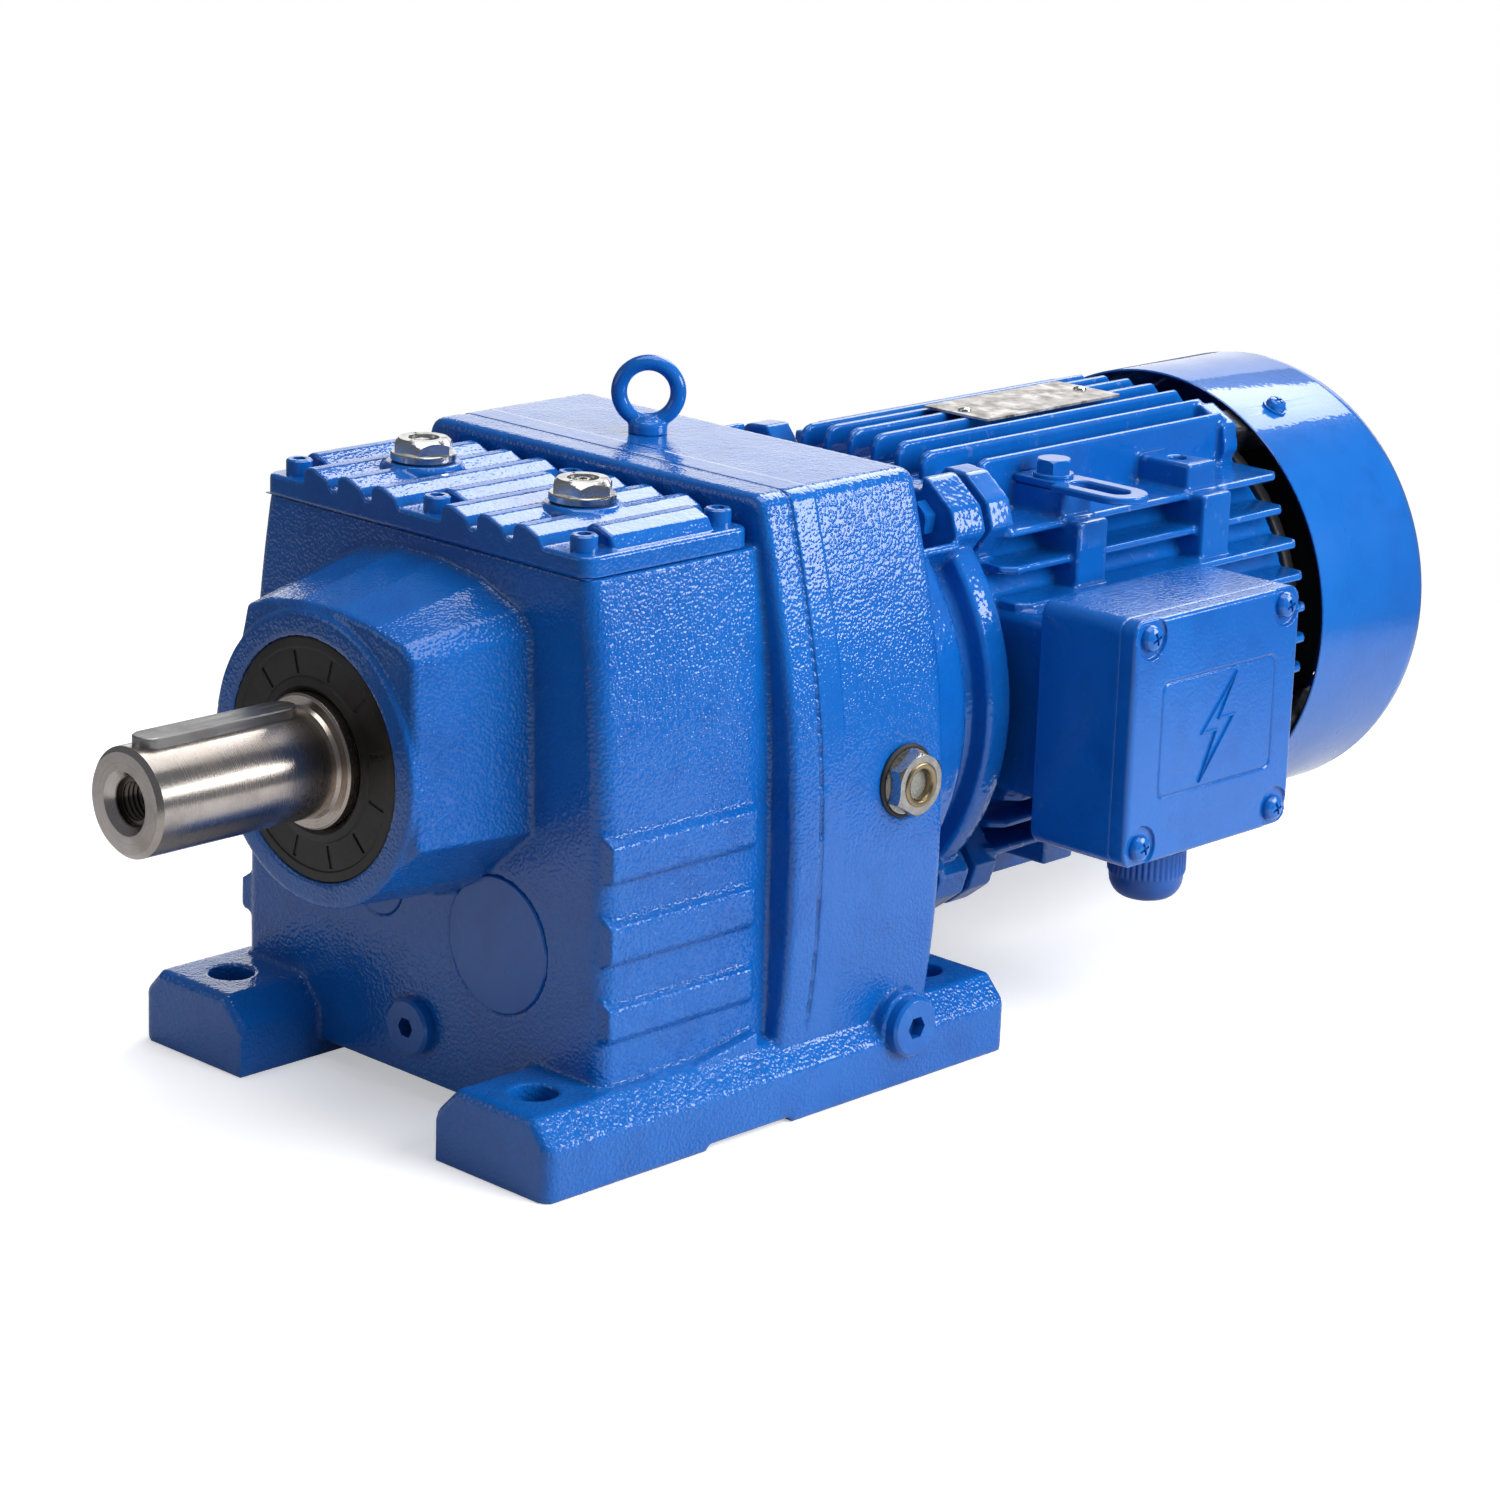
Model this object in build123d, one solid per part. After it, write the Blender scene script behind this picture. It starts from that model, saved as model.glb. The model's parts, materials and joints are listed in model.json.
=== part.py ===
from build123d import *
import os
from math import pi, sin, cos, tan, acos, asin, radians, degrees, sqrt, atan2

# Foot-mounted two-stage inline gearbox with a flanged squirrel-cage motor.
# Millimetres. Origin: centre of the four foot holes on the base plane.
# -Y output shaft, +Y motor, +X terminal box, +Z up.

os.makedirs("parts", exist_ok=True)

# ------------------------------------------------------------------ dimensions
H_OUT = 140.0            # output axis height
Z_MOT = 129.0            # motor axis height
FOOT_DX, FOOT_DY = 170.0, 205.0
FOOT_HOLE_R = 8.75
FOOT_X_IN, FOOT_X_OUT = 55.0, 114.0
FOOT_Y = 122.5
FOOT_T = 30.0
RELIEF = 2.0             # underside relief between the foot pads
Y_FRONT = -84.0          # front face of the front body
Y_BLK0, Y_BLK1 = 0.0, 84.0
Z_SEAT = 215.0           # cover seat
Z_BLK = 233.5            # top of the rear block
PART_Y = 14.6            # parting line of the rear block
WALL_A, WALL_B = 14.0, 30.0   # inner bearing wall, front and rear faces
Y_BOSS = -135.0
SHAFT_D, SHAFT_L = 40.0, 80.0
SEAL_D_IN, SEAL_D_OUT = 50.0, 90.0
Y_SHOULDER = -138.3
Y_END = Y_SHOULDER - SHAFT_L
GAP = 0.012              # radial gap left in every seated round fit
RUN = 0.05               # radial running clearance

# gear train
M2, Z2P, Z2G = 2.5, 14, 52
M1, Z1P, Z1G = 1.75, 20, 64
A2 = M2 * (Z2P + Z2G) / 2          # 82.5
A1 = M1 * (Z1P + Z1G) / 2          # 73.5
_d = H_OUT - Z_MOT
Z_INT = (H_OUT + Z_MOT - (A2 ** 2 - A1 ** 2) / _d) / 2
X_INT = sqrt(A2 ** 2 - (H_OUT - Z_INT) ** 2)
G2_Y0, G2_Y1 = -56.0, -16.0        # stage 2 wheel
P2_Y0, P2_Y1 = -58.0, -14.0
G1_Y0, G1_Y1 = 40.0, 62.0          # stage 1 wheel
P1_Y0, P1_Y1 = 38.0, 64.0

# motor
Y_NECK0, Y_NECK1 = 84.0, 112.0
Y_FL0, Y_FL1 = 124.0, 142.0
FRAME_Y0, FRAME_Y1 = 146.0, 330.0
FRAME_R, FRAME_BORE = 82.0, 76.0
COWL_R, COWL_T = 96.4, 1.5
COWL_Y0, COWL_Y1 = 337.0, 416.5
EAR_A = 52.0             # angle of the flange ears above the horizontal
EAR_R = 93.0

# ------------------------------------------------------------------ helpers
YDIR = (0, 1, 0)


def cyl(x, z, r, y0, y1):
    return Pos(x, (y0 + y1) / 2, z) * Rot(90, 0, 0) * Cylinder(r, y1 - y0)


def cylz(x, y, r, z0, z1):
    return Pos(x, y, (z0 + z1) / 2) * Cylinder(r, z1 - z0)


def cylx(y, z, r, x0, x1):
    return Pos((x0 + x1) / 2, y, z) * Rot(0, 90, 0) * Cylinder(r, x1 - x0)


def box(x0, x1, y0, y1, z0, z1):
    return Pos((x0 + x1) / 2, (y0 + y1) / 2, (z0 + z1) / 2) * Box(x1 - x0, y1 - y0, z1 - z0)


def tube(x, z, ro, ri, y0, y1):
    return cyl(x, z, ro, y0, y1) - cyl(x, z, ri, y0 - 1, y1 + 1)


def prism(pts, y0, y1):
    """Closed XZ polygon pushed from y0 to y1."""
    f = make_face(Polyline(*[(x, y0, z) for x, z in pts], close=True))
    return extrude(f, amount=y1 - y0, dir=YDIR)


def prism_z(pts, z0, z1):
    f = make_face(Polyline(*[(x, y, z0) for x, y in pts], close=True))
    return extrude(f, amount=z1 - z0, dir=(0, 0, 1))


def prism_x(pts, x0, x1):
    """Closed YZ polygon pushed from x0 to x1."""
    f = make_face(Polyline(*[(x0, y, z) for y, z in pts], close=True))
    return extrude(f, amount=x1 - x0, dir=(1, 0, 0))


def rev(pts, x, z):
    """Closed (radius, y) polygon turned about the Y line through x, z."""
    f = make_face(Polyline(*[(x + r, y, z) for r, y in pts], close=True))
    return revolve(f, axis=Axis((x, 0, z), YDIR), revolution_arc=360)


def rev_z(pts, x, y):
    f = make_face(Polyline(*[(x + r, y, z) for r, z in pts], close=True))
    return revolve(f, axis=Axis((x, y, 0), (0, 0, 1)), revolution_arc=360)


def rev_x(pts, y, z):
    """Closed (radius, x) polygon turned about the X line through y, z."""
    f = make_face(Polyline(*[(x, y, z + r) for r, x in pts], close=True))
    return revolve(f, axis=Axis((0, y, z), (1, 0, 0)), revolution_arc=360)


def fil(shape, edges, r):
    edges = list(edges)
    if not edges:
        print("no edges for radius", r)
        return shape
    for rr in (r, r * 0.7, r * 0.45):
        try:
            out = fillet(edges, rr)
            if out.is_valid and out.volume > 0:
                return out
        except Exception as err:
            last = err
    print("radius left off", r, len(edges))
    return shape


def cha(shape, edges, r):
    edges = list(edges)
    if not edges:
        print("no edges for chamfer", r)
        return shape
    try:
        out = chamfer(edges, r)
        if out.is_valid:
            return out
    except Exception:
        pass
    print("chamfer left off", r, len(edges))
    return shape


def along(shape, axis, tol=0.02):
    """Straight edges parallel to an axis letter."""
    d = {"x": (1, 0, 0), "y": (0, 1, 0), "z": (0, 0, 1)}[axis]
    out = []
    for e in shape.edges():
        a, b = e @ 0, e @ 1
        v = (b - a)
        if v.length < 1e-6:
            continue
        v = v / v.length
        if abs(abs(v.X * d[0] + v.Y * d[1] + v.Z * d[2]) - 1) < tol * tol + 1e-9 and e.geom_type == GeomType.LINE:
            out.append(e)
    return out


def at_y(shape, y, tol=0.01):
    return [e for e in shape.edges() if abs((e @ 0).Y - y) < tol and abs((e @ 0.5).Y - y) < tol and abs((e @ 1).Y - y) < tol]


def at_z(shape, z, tol=0.01):
    return [e for e in shape.edges() if abs((e @ 0).Z - z) < tol and abs((e @ 0.5).Z - z) < tol and abs((e @ 1).Z - z) < tol]


def at_x(shape, x, tol=0.01):
    return [e for e in shape.edges() if abs((e @ 0).X - x) < tol and abs((e @ 0.5).X - x) < tol and abs((e @ 1).X - x) < tol]


def hexpts(cx, cy, af, turn=0.0):
    r = af / sqrt(3)
    return [(cx + r * cos(radians(60 * i + turn)), cy + r * sin(radians(60 * i + turn))) for i in range(6)]


def spun(shape, n, x, z, start=0.0):
    """n copies about the Y line through x, z."""
    return [Pos(x, 0, z) * Rot(0, start + 360.0 * i / n, 0) * Pos(-x, 0, -z) * shape for i in range(n)]


def gear_outline(z, m, ha, hf, thin, face_angle, cx, cz):
    """Involute tooth outline in XZ with a tooth centred on face_angle (degrees from +X towards +Z)."""
    al = radians(20)
    rp = m * z / 2
    rb = rp * cos(al)
    ra = rp + ha * m
    rf = rp - hf * m
    inv = lambda a: tan(a) - a
    th_p = pi / (2 * z) - thin / (2 * rp)

    def half(r):
        if r <= rb:
            return th_p + inv(al)
        return th_p + inv(al) - inv(acos(rb / r))
    r0 = max(rb, rf + 0.15 * m)
    rad = [rf, r0] + [r0 + (ra - r0) * k / 4 for k in (1, 2, 3, 4)]
    pts = []
    for i in range(z):
        c = radians(face_angle) + 2 * pi * i / z
        for r in rad:
            a = c - half(r) * (1.08 if r == rf and rf < rb else 1)
            pts.append((cx + r * cos(a), cz + r * sin(a)))
        for r in reversed(rad):
            a = c + half(r) * (1.08 if r == rf and rf < rb else 1)
            pts.append((cx + r * cos(a), cz + r * sin(a)))
    return pts


def save(shape, name):
    export_step(shape, "parts/" + name + ".step")
    sol = shape.solids()
    print(name, len(sol), "solids", round(sum(s.volume for s in sol) / 1000, 1), "cm3")


def group(shapes):
    out = []
    for s in shapes:
        out += list(s.solids())
    return Compound(children=out)


ANG_INT_FROM_OUT = degrees(atan2(Z_INT - H_OUT, X_INT))
ANG_OUT_FROM_INT = ANG_INT_FROM_OUT + 180
ANG_INT_FROM_MOT = degrees(atan2(Z_INT - Z_MOT, X_INT))
ANG_MOT_FROM_INT = ANG_INT_FROM_MOT + 180

# ------------------------------------------------------------------ gear housing
# Front body: tapered box section with curved sides
def side_section(prof, top, bottom, y0, y1):
    """prof: (z, half width) list from bottom to top."""
    right = Spline(*[(x, y0, z) for z, x in prof])
    left = Spline(*[(-x, y0, z) for z, x in prof])
    (zb, xb), (zt, xt) = prof[0], prof[-1]
    b = Line((-xb, y0, zb), (xb, y0, zb))
    t = Line((-xt, y0, zt), (xt, y0, zt))
    f = make_face([right, t, left, b])
    return extrude(f, amount=y1 - y0, dir=YDIR)


front_prof = [(7, 99.5), (31, 100), (80, 99.6), (125, 98.6), (160, 96.4), (190, 92.6), (215, 88.2)]
front = side_section(front_prof, Z_SEAT, 7, Y_FRONT, 4)
front = fil(front, [e for e in at_y(front, Y_FRONT) if abs((e @ 0.5).Z - 7) > 1 and abs((e @ 0.5).Z - Z_SEAT) > 1], 7)

blk_prof = [(2, 105.2), (24, 106.8), (48, 109.8), (87, 112.0), (125, 111.2), (162, 106.9), (197, 99.2), (233.5, 89.0)]
blk = side_section(blk_prof, Z_BLK, 2, Y_BLK0, Y_BLK1)
blk = fil(blk, [e for e in along(blk, "y") if (e @ 0.5).Z > 200], 7)
blk = fil(blk, [e for e in at_y(blk, Y_BLK0) if (e @ 0.5).Z > 3], 3.5)
blk = fil(blk, [e for e in at_y(blk, Y_BLK1) if (e @ 0.5).Z > 3], 6)

# parting line between the block's front frame and its main part
slab = box(-150, 150, PART_Y - 0.85, PART_Y + 0.85, 4, 260)
core_ = side_section([(z, x - 1.3) for z, x in blk_prof[:-1]] + [(Z_BLK - 1.3, 88.0)], Z_BLK - 1.3, 2, PART_Y - 2, PART_Y + 2)
core_ = fil(core_, [e for e in along(core_, "y") if (e @ 0.5).Z > 200], 6.5)
blk -= slab - core_
body = front + blk
# radius where the front body's side meets the block is left as the deep cast groove
# cast ribs low on both sides of the front body
for s in (1, -1):
    for z0, z1 in ((107.0, 125.0), (76.5, 95.0), (47.5, 64.0)):
        rib = prism([(s * 92, z0 - 2), (s * 101.4, z0), (s * 103.0, z0 + 2.2), (s * 102.6, z1 - 4.2), (s * 92, z1 + 2.2)], Y_FRONT + 1.0, -8.5)
        rib = fil(rib, [e for e in at_y(rib, -8.5) if abs((e @ 0.5).X) > 100], 2.5)
        body += rib
# Foot pads and side rails
for s in (1, -1):
    xi, xo = s * FOOT_X_IN, s * FOOT_X_OUT
    sect = [(xi, 0), (xo, 0), (xo, 19.7), (s * 104.5, FOOT_T), (s * 65, FOOT_T), (xi, 20)]
    for y0, y1 in ((-FOOT_Y, -42.0), (2.0, FOOT_Y)):
        foot = prism(sect, y0, y1)
        ends = [e for e in along(foot, "z") if abs(abs((e @ 0.5).Y) - FOOT_Y) < 0.1 and abs(abs((e @ 0.5).X) - FOOT_X_OUT) < 0.1]
        foot = fil(foot, ends, 5)
        endy = y0 if y0 < -100 else y1
        foot = fil(foot, [e for e in at_y(foot, endy) if (e @ 0.5).Z > 21], 3.5)
        body += foot
    rail = prism([(s * 90, RELIEF), (xo, RELIEF), (xo, 19.7), (s * 104.5, FOOT_T), (s * 90, FOOT_T + 4)], -60, 20)
    body += rail
    # raked casting web from the rail up to the front body, near the block
    web = prism_x([(-40, 24), (-8.5, 24), (-8.5, 36), (-16, 34.5), (-40, 30.5)], s * 98 if s > 0 else -105.5, s * 105.5 if s > 0 else -98)
    body += web

# Output boss: arched collar that spreads back to the front face
def boss_outline(pts, y):
    return Wire(Polyline(*[(x, y, z) for x, z in pts], close=True).edges())


def bottom_arc(r, cx, cz, a0, a1, n):
    return [(cx + r * cos(radians(a0 + (a1 - a0) * k / n)), cz + r * sin(radians(a0 + (a1 - a0) * k / n))) for k in range(n + 1)]


top_f = [(55, 118), (53.6, 150), (51.8, 186), (46, 191), (30, 194.8), (10, 197), (-10, 196.6), (-28, 193.5), (-39, 189), (-43.5, 172), (-50, 152)]
top_b = [(62, 118), (61, 150), (59.5, 190), (53, 198), (34, 205.0), (11, 208), (-11, 208), (-32, 204.5), (-46, 198), (-52, 176), (-58, 152)]
low_f = bottom_arc(54.6, 0, H_OUT, 198, 322, 10)
low_b = bottom_arc(58.5, 0, H_OUT, 198, 322, 10)
fr = Polyline(*[(x, Y_BOSS + 2, z) for x, z in top_f + low_f], close=True)
bk = Polyline(*[(x, Y_FRONT + 1, z) for x, z in top_b + low_b], close=True)
boss = loft([make_face(fr), make_face(bk)], ruled=True)
boss = fil(boss, at_y(boss, Y_BOSS + 2), 3.0)
body += boss
body += rev([(40, Y_FRONT), (54.6, Y_FRONT), (54.6, Y_BOSS + 1.2), (53.4, Y_BOSS), (40, Y_BOSS)], 0, H_OUT)

# Cavities
body -= prism([(-86, 16), (86, 16), (89, 60), (89, 130), (84, 180), (76, 205), (-76, 205), (-84, 180), (-89, 130), (-89, 60)], Y_FRONT + 14, WALL_A)
body -= box(-66, 66, -70, -16, 200, Z_SEAT + 5)
rear_c = [(-98, 9.5), (98, 9.5), (103.4, 48), (105.6, 80), (105.0, 125), (100.2, 162), (91.5, 197), (80, 224), (-80, 224), (-91.5, 197), (-100.2, 162), (-105.0, 125), (-105.6, 80), (-103.4, 48)]
body -= prism(rear_c, WALL_B, 76)
body -= cyl(0, Z_MOT, 80, 75, Y_BLK1 + 1)

# Bearing bosses inside the front wall and through the inner wall
body -= cyl(0, H_OUT, 68.6, -60, -14.4)
body += cyl(X_INT, Z_INT, 34, Y_FRONT + 2, -60)
body += cyl(0, H_OUT, 56, Y_FRONT + 2, -66)
body -= cyl(X_INT, Z_INT, 26, Y_FRONT - 1, -61.5)
body -= cyl(X_INT, Z_INT, 21.5, -62, -57)
body -= cyl(0, H_OUT, 45, Y_BOSS - 1, -100)
body -= cyl(0, H_OUT, 39, -101, -60)
body -= cyl(0, H_OUT, 40, WALL_A - 1, WALL_B + 1)
body -= cyl(X_INT, Z_INT, 26, WALL_A - 1, WALL_B + 1)
# blind bore for the small cap under the boss
body -= cyl(-21, 79.5, 13.5, Y_FRONT - 1, Y_FRONT + 5)

# Foot holes
for sx in (1, -1):
    for sy in (1, -1):
        body -= cylz(sx * FOOT_DX / 2, sy * FOOT_DY / 2, FOOT_HOLE_R, -1, FOOT_T + 2)

# Cover screws' tapped holes
COVER_SCREWS = [(-77, -76), (0, -76), (77, -76), (-77, -9.5), (0, -9.5), (77, -9.5)]
for x, y in COVER_SCREWS:
    body -= cylz(x, y, 3.0, Z_SEAT - 9.5, Z_SEAT + 1)

# Eyebolt seat
EYE_X, EYE_Y = -16.0, 46.0
body -= cylz(EYE_X, EYE_Y, 5.0, Z_BLK - 7.5, Z_BLK + 1)

# Plug and sight glass seats
GLASS_Y, GLASS_Z, GLASS_X = 60.0, 121.0, 111.2
SDR_Y, SDR_Z, SDR_X = 64.0, 24.0, 114.0
FDR_X, FDR_Z = 0.0, 27.5
body += cylx(SDR_Y, SDR_Z, 13.2, 96, SDR_X)
body -= cylx(GLASS_Y, GLASS_Z, 14.5, GLASS_X, GLASS_X + 10)
body -= cylx(GLASS_Y, GLASS_Z, 9.0, 90, GLASS_X + 2)
body -= cylx(SDR_Y, SDR_Z, 8.0, SDR_X - 12, SDR_X + 1)
body -= cyl(FDR_X, FDR_Z, 8.0, Y_FRONT - 1, Y_FRONT + 10)

# Tapped holes for the motor flange in the rear face
ADP = [(88.5 * cos(radians(a)), Z_MOT + 88.5 * sin(radians(a))) for a in (EAR_A, 180 - EAR_A, 180 + EAR_A, 360 - EAR_A)]
for x, z in ADP:
    body -= cyl(x, z, 4.0, Y_BLK1 - 7, Y_BLK1 + 1)
housing = body
housing = max(housing.solids(), key=lambda s: s.volume) if len(housing.solids()) > 1 else housing
print("housing solids", len(body.solids()), "valid", housing.is_valid)
save(housing, "gear_housing")

# ------------------------------------------------------------------ inspection cover
CX, CY0, CY1 = 87.6, -84.6, -2.5
Z_G = Z_SEAT + 0.4
gasket = box(-CX + 0.6, CX - 0.6, CY0 + 0.8, CY1 - 0.4, Z_SEAT, Z_G) - box(-66, 66, -70, -16, Z_SEAT - 1, Z_G + 1)
cover = box(-CX, CX, CY0, CY1, Z_G, 223)
cover = fil(cover, along(cover, "z"), 6)
cover = fil(cover, at_z(cover, 223), 1.6)
for k in range(9):
    xc = -76 + 19 * k
    y0, y1 = (CY0, CY1 - 0.8)
    if k in (0, 4, 8):
        y0, y1 = -67.5, -18.0
    h = 229.2 if k < 8 else 230.2
    rib = prism([(xc - 8, 221), (xc - 7.4, h - 1.6), (xc - 5.0, h), (xc - 1, h - 0.2), (xc + 5.2, h - 2.6), (xc + 9.2, 221)], y0, y1)
    rib = fil(rib, [e for e in at_y(rib, y0) + at_y(rib, y1) if (e @ 0.5).Z > 222], 1.2 if k in (0, 4, 8) else 0.6)
    cover += rib
PLUGS = [(-43.0, -44.5), (43.0, -44.5)]
for x, y in PLUGS:
    cover += rev_z([(0, 218), (15.5, 218), (15.0, 228.4), (13.8, 230), (0, 230)], x, y)
for x, y in COVER_SCREWS:
    cover -= cylz(x, y, 8.0, 223, 235)
    cover -= cylz(x, y, 3.3, 210, 235)
    gasket -= cylz(x, y, 3.3, 210, 235)
for x, y in PLUGS:
    cover -= cylz(x, y, 8.25, 210, 235)
cover = cover & box(-CX, CX, CY0, CY1, Z_G, 240)
save(cover, "inspection_cover")
save(gasket, "cover_gasket")

screws = []
for x, y in COVER_SCREWS:
    s = cylz(x, y, 5.0, 223, 229)
    s = cha(s, at_z(s, 229), 0.7)
    s += cylz(x, y, 2.98, Z_SEAT - 9, 223.5)
    s -= prism_z(hexpts(x, y, 5.0), 226, 230)
    screws.append(s)
save(group(screws), "cover_screws")


def hex_plug(x, y, vent):
    p = rev_z([(0, 230.5), (12.0, 230.5), (12.4, 230.9), (12.4, 233.0), (12.0, 233.5), (0, 233.5)], x, y)
    hx = prism_z(hexpts(x, y, 20.4, 12), 233.0, 238.8)
    hx = hx & rev_z([(0, 233), (11.9, 233), (11.9, 236.3), (9.3, 238.8), (0, 238.8)], x, y)
    p += hx + cylz(x, y, 8.2, 220, 232)
    p -= rev_z([(0, 237.3), (5.2, 237.3), (6.4, 239.8), (0, 239.8)], x, y)
    for k in range(3):
        p -= Pos(x, y, 238.8) * Rot(0, 0, 42 + 120 * k) * Pos(7.8, 0, 0) * Box(2.2, 0.9, 0.6)
    if vent:
        p -= cylz(x, y, 1.6, 218, 245)
        p += cylz(x, y, 2.6, 236, 238.4) - cylz(x, y, 1.6, 218, 245)
    return p


save(hex_plug(*PLUGS[0], False), "filler_plug")
save(hex_plug(*PLUGS[1], True), "breather_plug")
save(group([rev_z([(8.4, 230), (11.7, 230), (11.7, 230.5), (8.4, 230.5)], x, y) for x, y in PLUGS]), "plug_washers")

# ------------------------------------------------------------------ lifting eyebolt (ring faces the front right corner)
RING_R, RING_T = 11.35, 3.15
zc = Z_BLK + 4.5 + RING_R
NS = 18
prof = [(RING_R + RING_T * cos(2 * pi * (k + 0.5) / NS), RING_T * sin(2 * pi * (k + 0.5) / NS)) for k in range(NS)]
ring = Pos(EYE_X, EYE_Y, zc) * Rot(0, 0, 44) * Rot(90, 0, 0) * rev_z(prof, 0, 0)
collar = rev_z([(0, Z_BLK), (7.6, Z_BLK), (7.6, Z_BLK + 3.6), (6.8, Z_BLK + 4.9), (4.6, Z_BLK + 6.0), (4.2, Z_BLK + 6.6), (0, Z_BLK + 6.6)], EYE_X, EYE_Y)
eye = ring + collar
eye += cylz(EYE_X, EYE_Y, 4.97, Z_BLK - 7, Z_BLK + 1)
save(eye, "lifting_eyebolt")

# ------------------------------------------------------------------ sight glass and drain plugs
def hexpts_yz(cy, cz, af, turn):
    r = af / sqrt(3)
    return [(cy + r * cos(radians(60 * i + turn)), cz + r * sin(radians(60 * i + turn))) for i in range(6)]


gx = GLASS_X
sg = prism_x(hexpts_yz(GLASS_Y, GLASS_Z, 22.5, 30), gx + 1.6, gx + 8.0)
sg = sg & rev_x([(0, gx + 1), (12.2, gx + 1), (13.2, gx + 2.2), (13.2, gx + 6.6), (11.4, gx + 8.0), (0, gx + 8.0)], GLASS_Y, GLASS_Z)
sg += cylx(GLASS_Y, GLASS_Z, 12.6, gx, gx + 1.7)
sg += cylx(GLASS_Y, GLASS_Z, 8.97, gx - 9, gx + 1)
sg -= cylx(GLASS_Y, GLASS_Z, 8.6, gx + 2.0, gx + 12)
sg -= cylx(GLASS_Y, GLASS_Z, 5.4, gx - 12, gx + 3)
save(sg, "sight_glass_body")
ring = rev_x([(5.8, gx + 5.2), (8.58, gx + 5.2), (8.58, gx + 8.3), (7.9, gx + 8.7), (6.4, gx + 8.5), (5.8, gx + 7.6)], GLASS_Y, GLASS_Z)
save(ring, "sight_glass_ring")
lens = cylx(GLASS_Y, GLASS_Z, 8.55, gx + 2.0, gx + 5.2)
save(lens, "sight_glass_lens")


def socket_plug_x(y, z, x, r, af, h):
    p = rev_x([(0, x), (r, x), (r, x + h - 1.2), (r - 1.2, x + h), (0, x + h)], y, z)
    p += cylx(y, z, 7.97, x - 11, x + 0.5)
    p -= prism_x(hexpts_yz(y, z, af, 0), x + h - 5, x + h + 1)
    return p


save(socket_plug_x(SDR_Y, SDR_Z, SDR_X, 11.8, 8, 5.0), "side_drain_plug")
fd = rev([(0, Y_FRONT), (11.2, Y_FRONT), (11.2, Y_FRONT - 3.6), (10.0, Y_FRONT - 4.8), (0, Y_FRONT - 4.8)], FDR_X, FDR_Z)
fd += cyl(FDR_X, FDR_Z, 7.97, Y_FRONT - 0.5, Y_FRONT + 9)
fd -= prism(hexpts(FDR_X, FDR_Z, 7.0, 0), Y_FRONT - 6, Y_FRONT)
save(fd, "front_drain_plug")

# ------------------------------------------------------------------ bore caps and output seal
cap = rev([(0, Y_FRONT + 6), (26 - GAP, Y_FRONT + 6), (26 - GAP, Y_FRONT + 0.1), (25.4, Y_FRONT - 0.5), (0, Y_FRONT - 0.5)], X_INT, Z_INT)
save(cap, "large_bore_cap")
cap = rev([(0, Y_FRONT + 5), (13.5 - GAP, Y_FRONT + 5), (13.5 - GAP, Y_FRONT), (13.0, Y_FRONT - 0.4), (0, Y_FRONT - 0.4)], -21, 79.5)
save(cap, "small_bore_cap")

ys = -134.4
seal = rev([(45 - GAP, ys + 0.5), (44.4, ys), (41.2, ys), (40.8, ys + 0.5), (30.6, ys + 0.5), (30.0, ys - 0.3), (27.2, ys - 0.6), (25.0 + RUN, ys + 1.2),
            (25.9, ys + 3.2), (25.0 + RUN, ys + 6.2), (27.0, ys + 9.4), (30.5, ys + 9.4), (31.0, ys + 4.6), (38.5, ys + 4.6), (39.5, ys + 10), (45 - GAP, ys + 10)], 0, H_OUT)
for k in range(12):
    a = 15 + 30 * k
    seal -= Pos(0, ys, H_OUT) * Rot(0, -a, 0) * Pos(35.6, 0.25, 0) * Box(8.4, 1.6, 1.6)
save(seal, "output_seal")

# ------------------------------------------------------------------ bearings
def bearing(x, z, di, do, b, y0, nb, db):
    """Returns outer ring and inner ring with its balls."""
    rm = (di + do) / 4
    y1 = y0 + b
    ri, ro = di / 2 + GAP, do / 2 - GAP
    t = (do - di) / 2
    r_in = rm - 0.20 * t
    r_out = rm + 0.20 * t
    outer = rev([(r_out, y0 + 0.3), (ro - 0.8, y0), (ro, y0 + 0.8), (ro, y1 - 0.8), (ro - 0.8, y1), (r_out, y1 - 0.3)], x, z)
    inner = rev([(ri + 0.8, y0), (r_in, y0 + 0.3), (r_in, y1 - 0.3), (ri + 0.8, y1), (ri, y1 - 0.8), (ri, y0 + 0.8)], x, z)
    groove = Pos(x, (y0 + y1) / 2, z) * Rot(90, 0, 0) * Torus(rm, db / 2 + 0.03)
    outer -= groove
    inner -= groove
    balls = [Pos(x + (rm - 0.02) * cos(radians(360 * i / nb)), (y0 + y1) / 2, z + (rm - 0.02) * sin(radians(360 * i / nb))) * Sphere(db / 2) for i in range(nb)]
    return outer, [inner] + balls


o, i = bearing(0, H_OUT, 50, 90, 20, -120.5, 10, 12.7)
save(o, "output_front_bearing_outer")
save(group(i), "output_front_bearing_inner")
o, i = bearing(0, H_OUT, 40, 80, 18, WALL_A - 1.0 + 0.0, 9, 12.0)
save(o, "output_rear_bearing_outer")
save(group(i), "output_rear_bearing_inner")
o1, i1 = bearing(X_INT, Z_INT, 25, 52, 15, -76.5, 9, 7.9)
o2, i2 = bearing(X_INT, Z_INT, 25, 52, 15, WALL_A + 0.5, 9, 7.9)
save(group([o1, o2]), "intermediate_bearing_outers")
save(group(i1 + i2), "intermediate_bearing_inners")
MB1_Y, MB2_Y = 122.0, 332.0
o1, i1 = bearing(0, Z_MOT, 30, 62, 16, MB1_Y, 9, 9.5)
o2, i2 = bearing(0, Z_MOT, 25, 52, 15, MB2_Y, 9, 7.9)
save(group([o1, o2]), "motor_bearing_outers")
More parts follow.
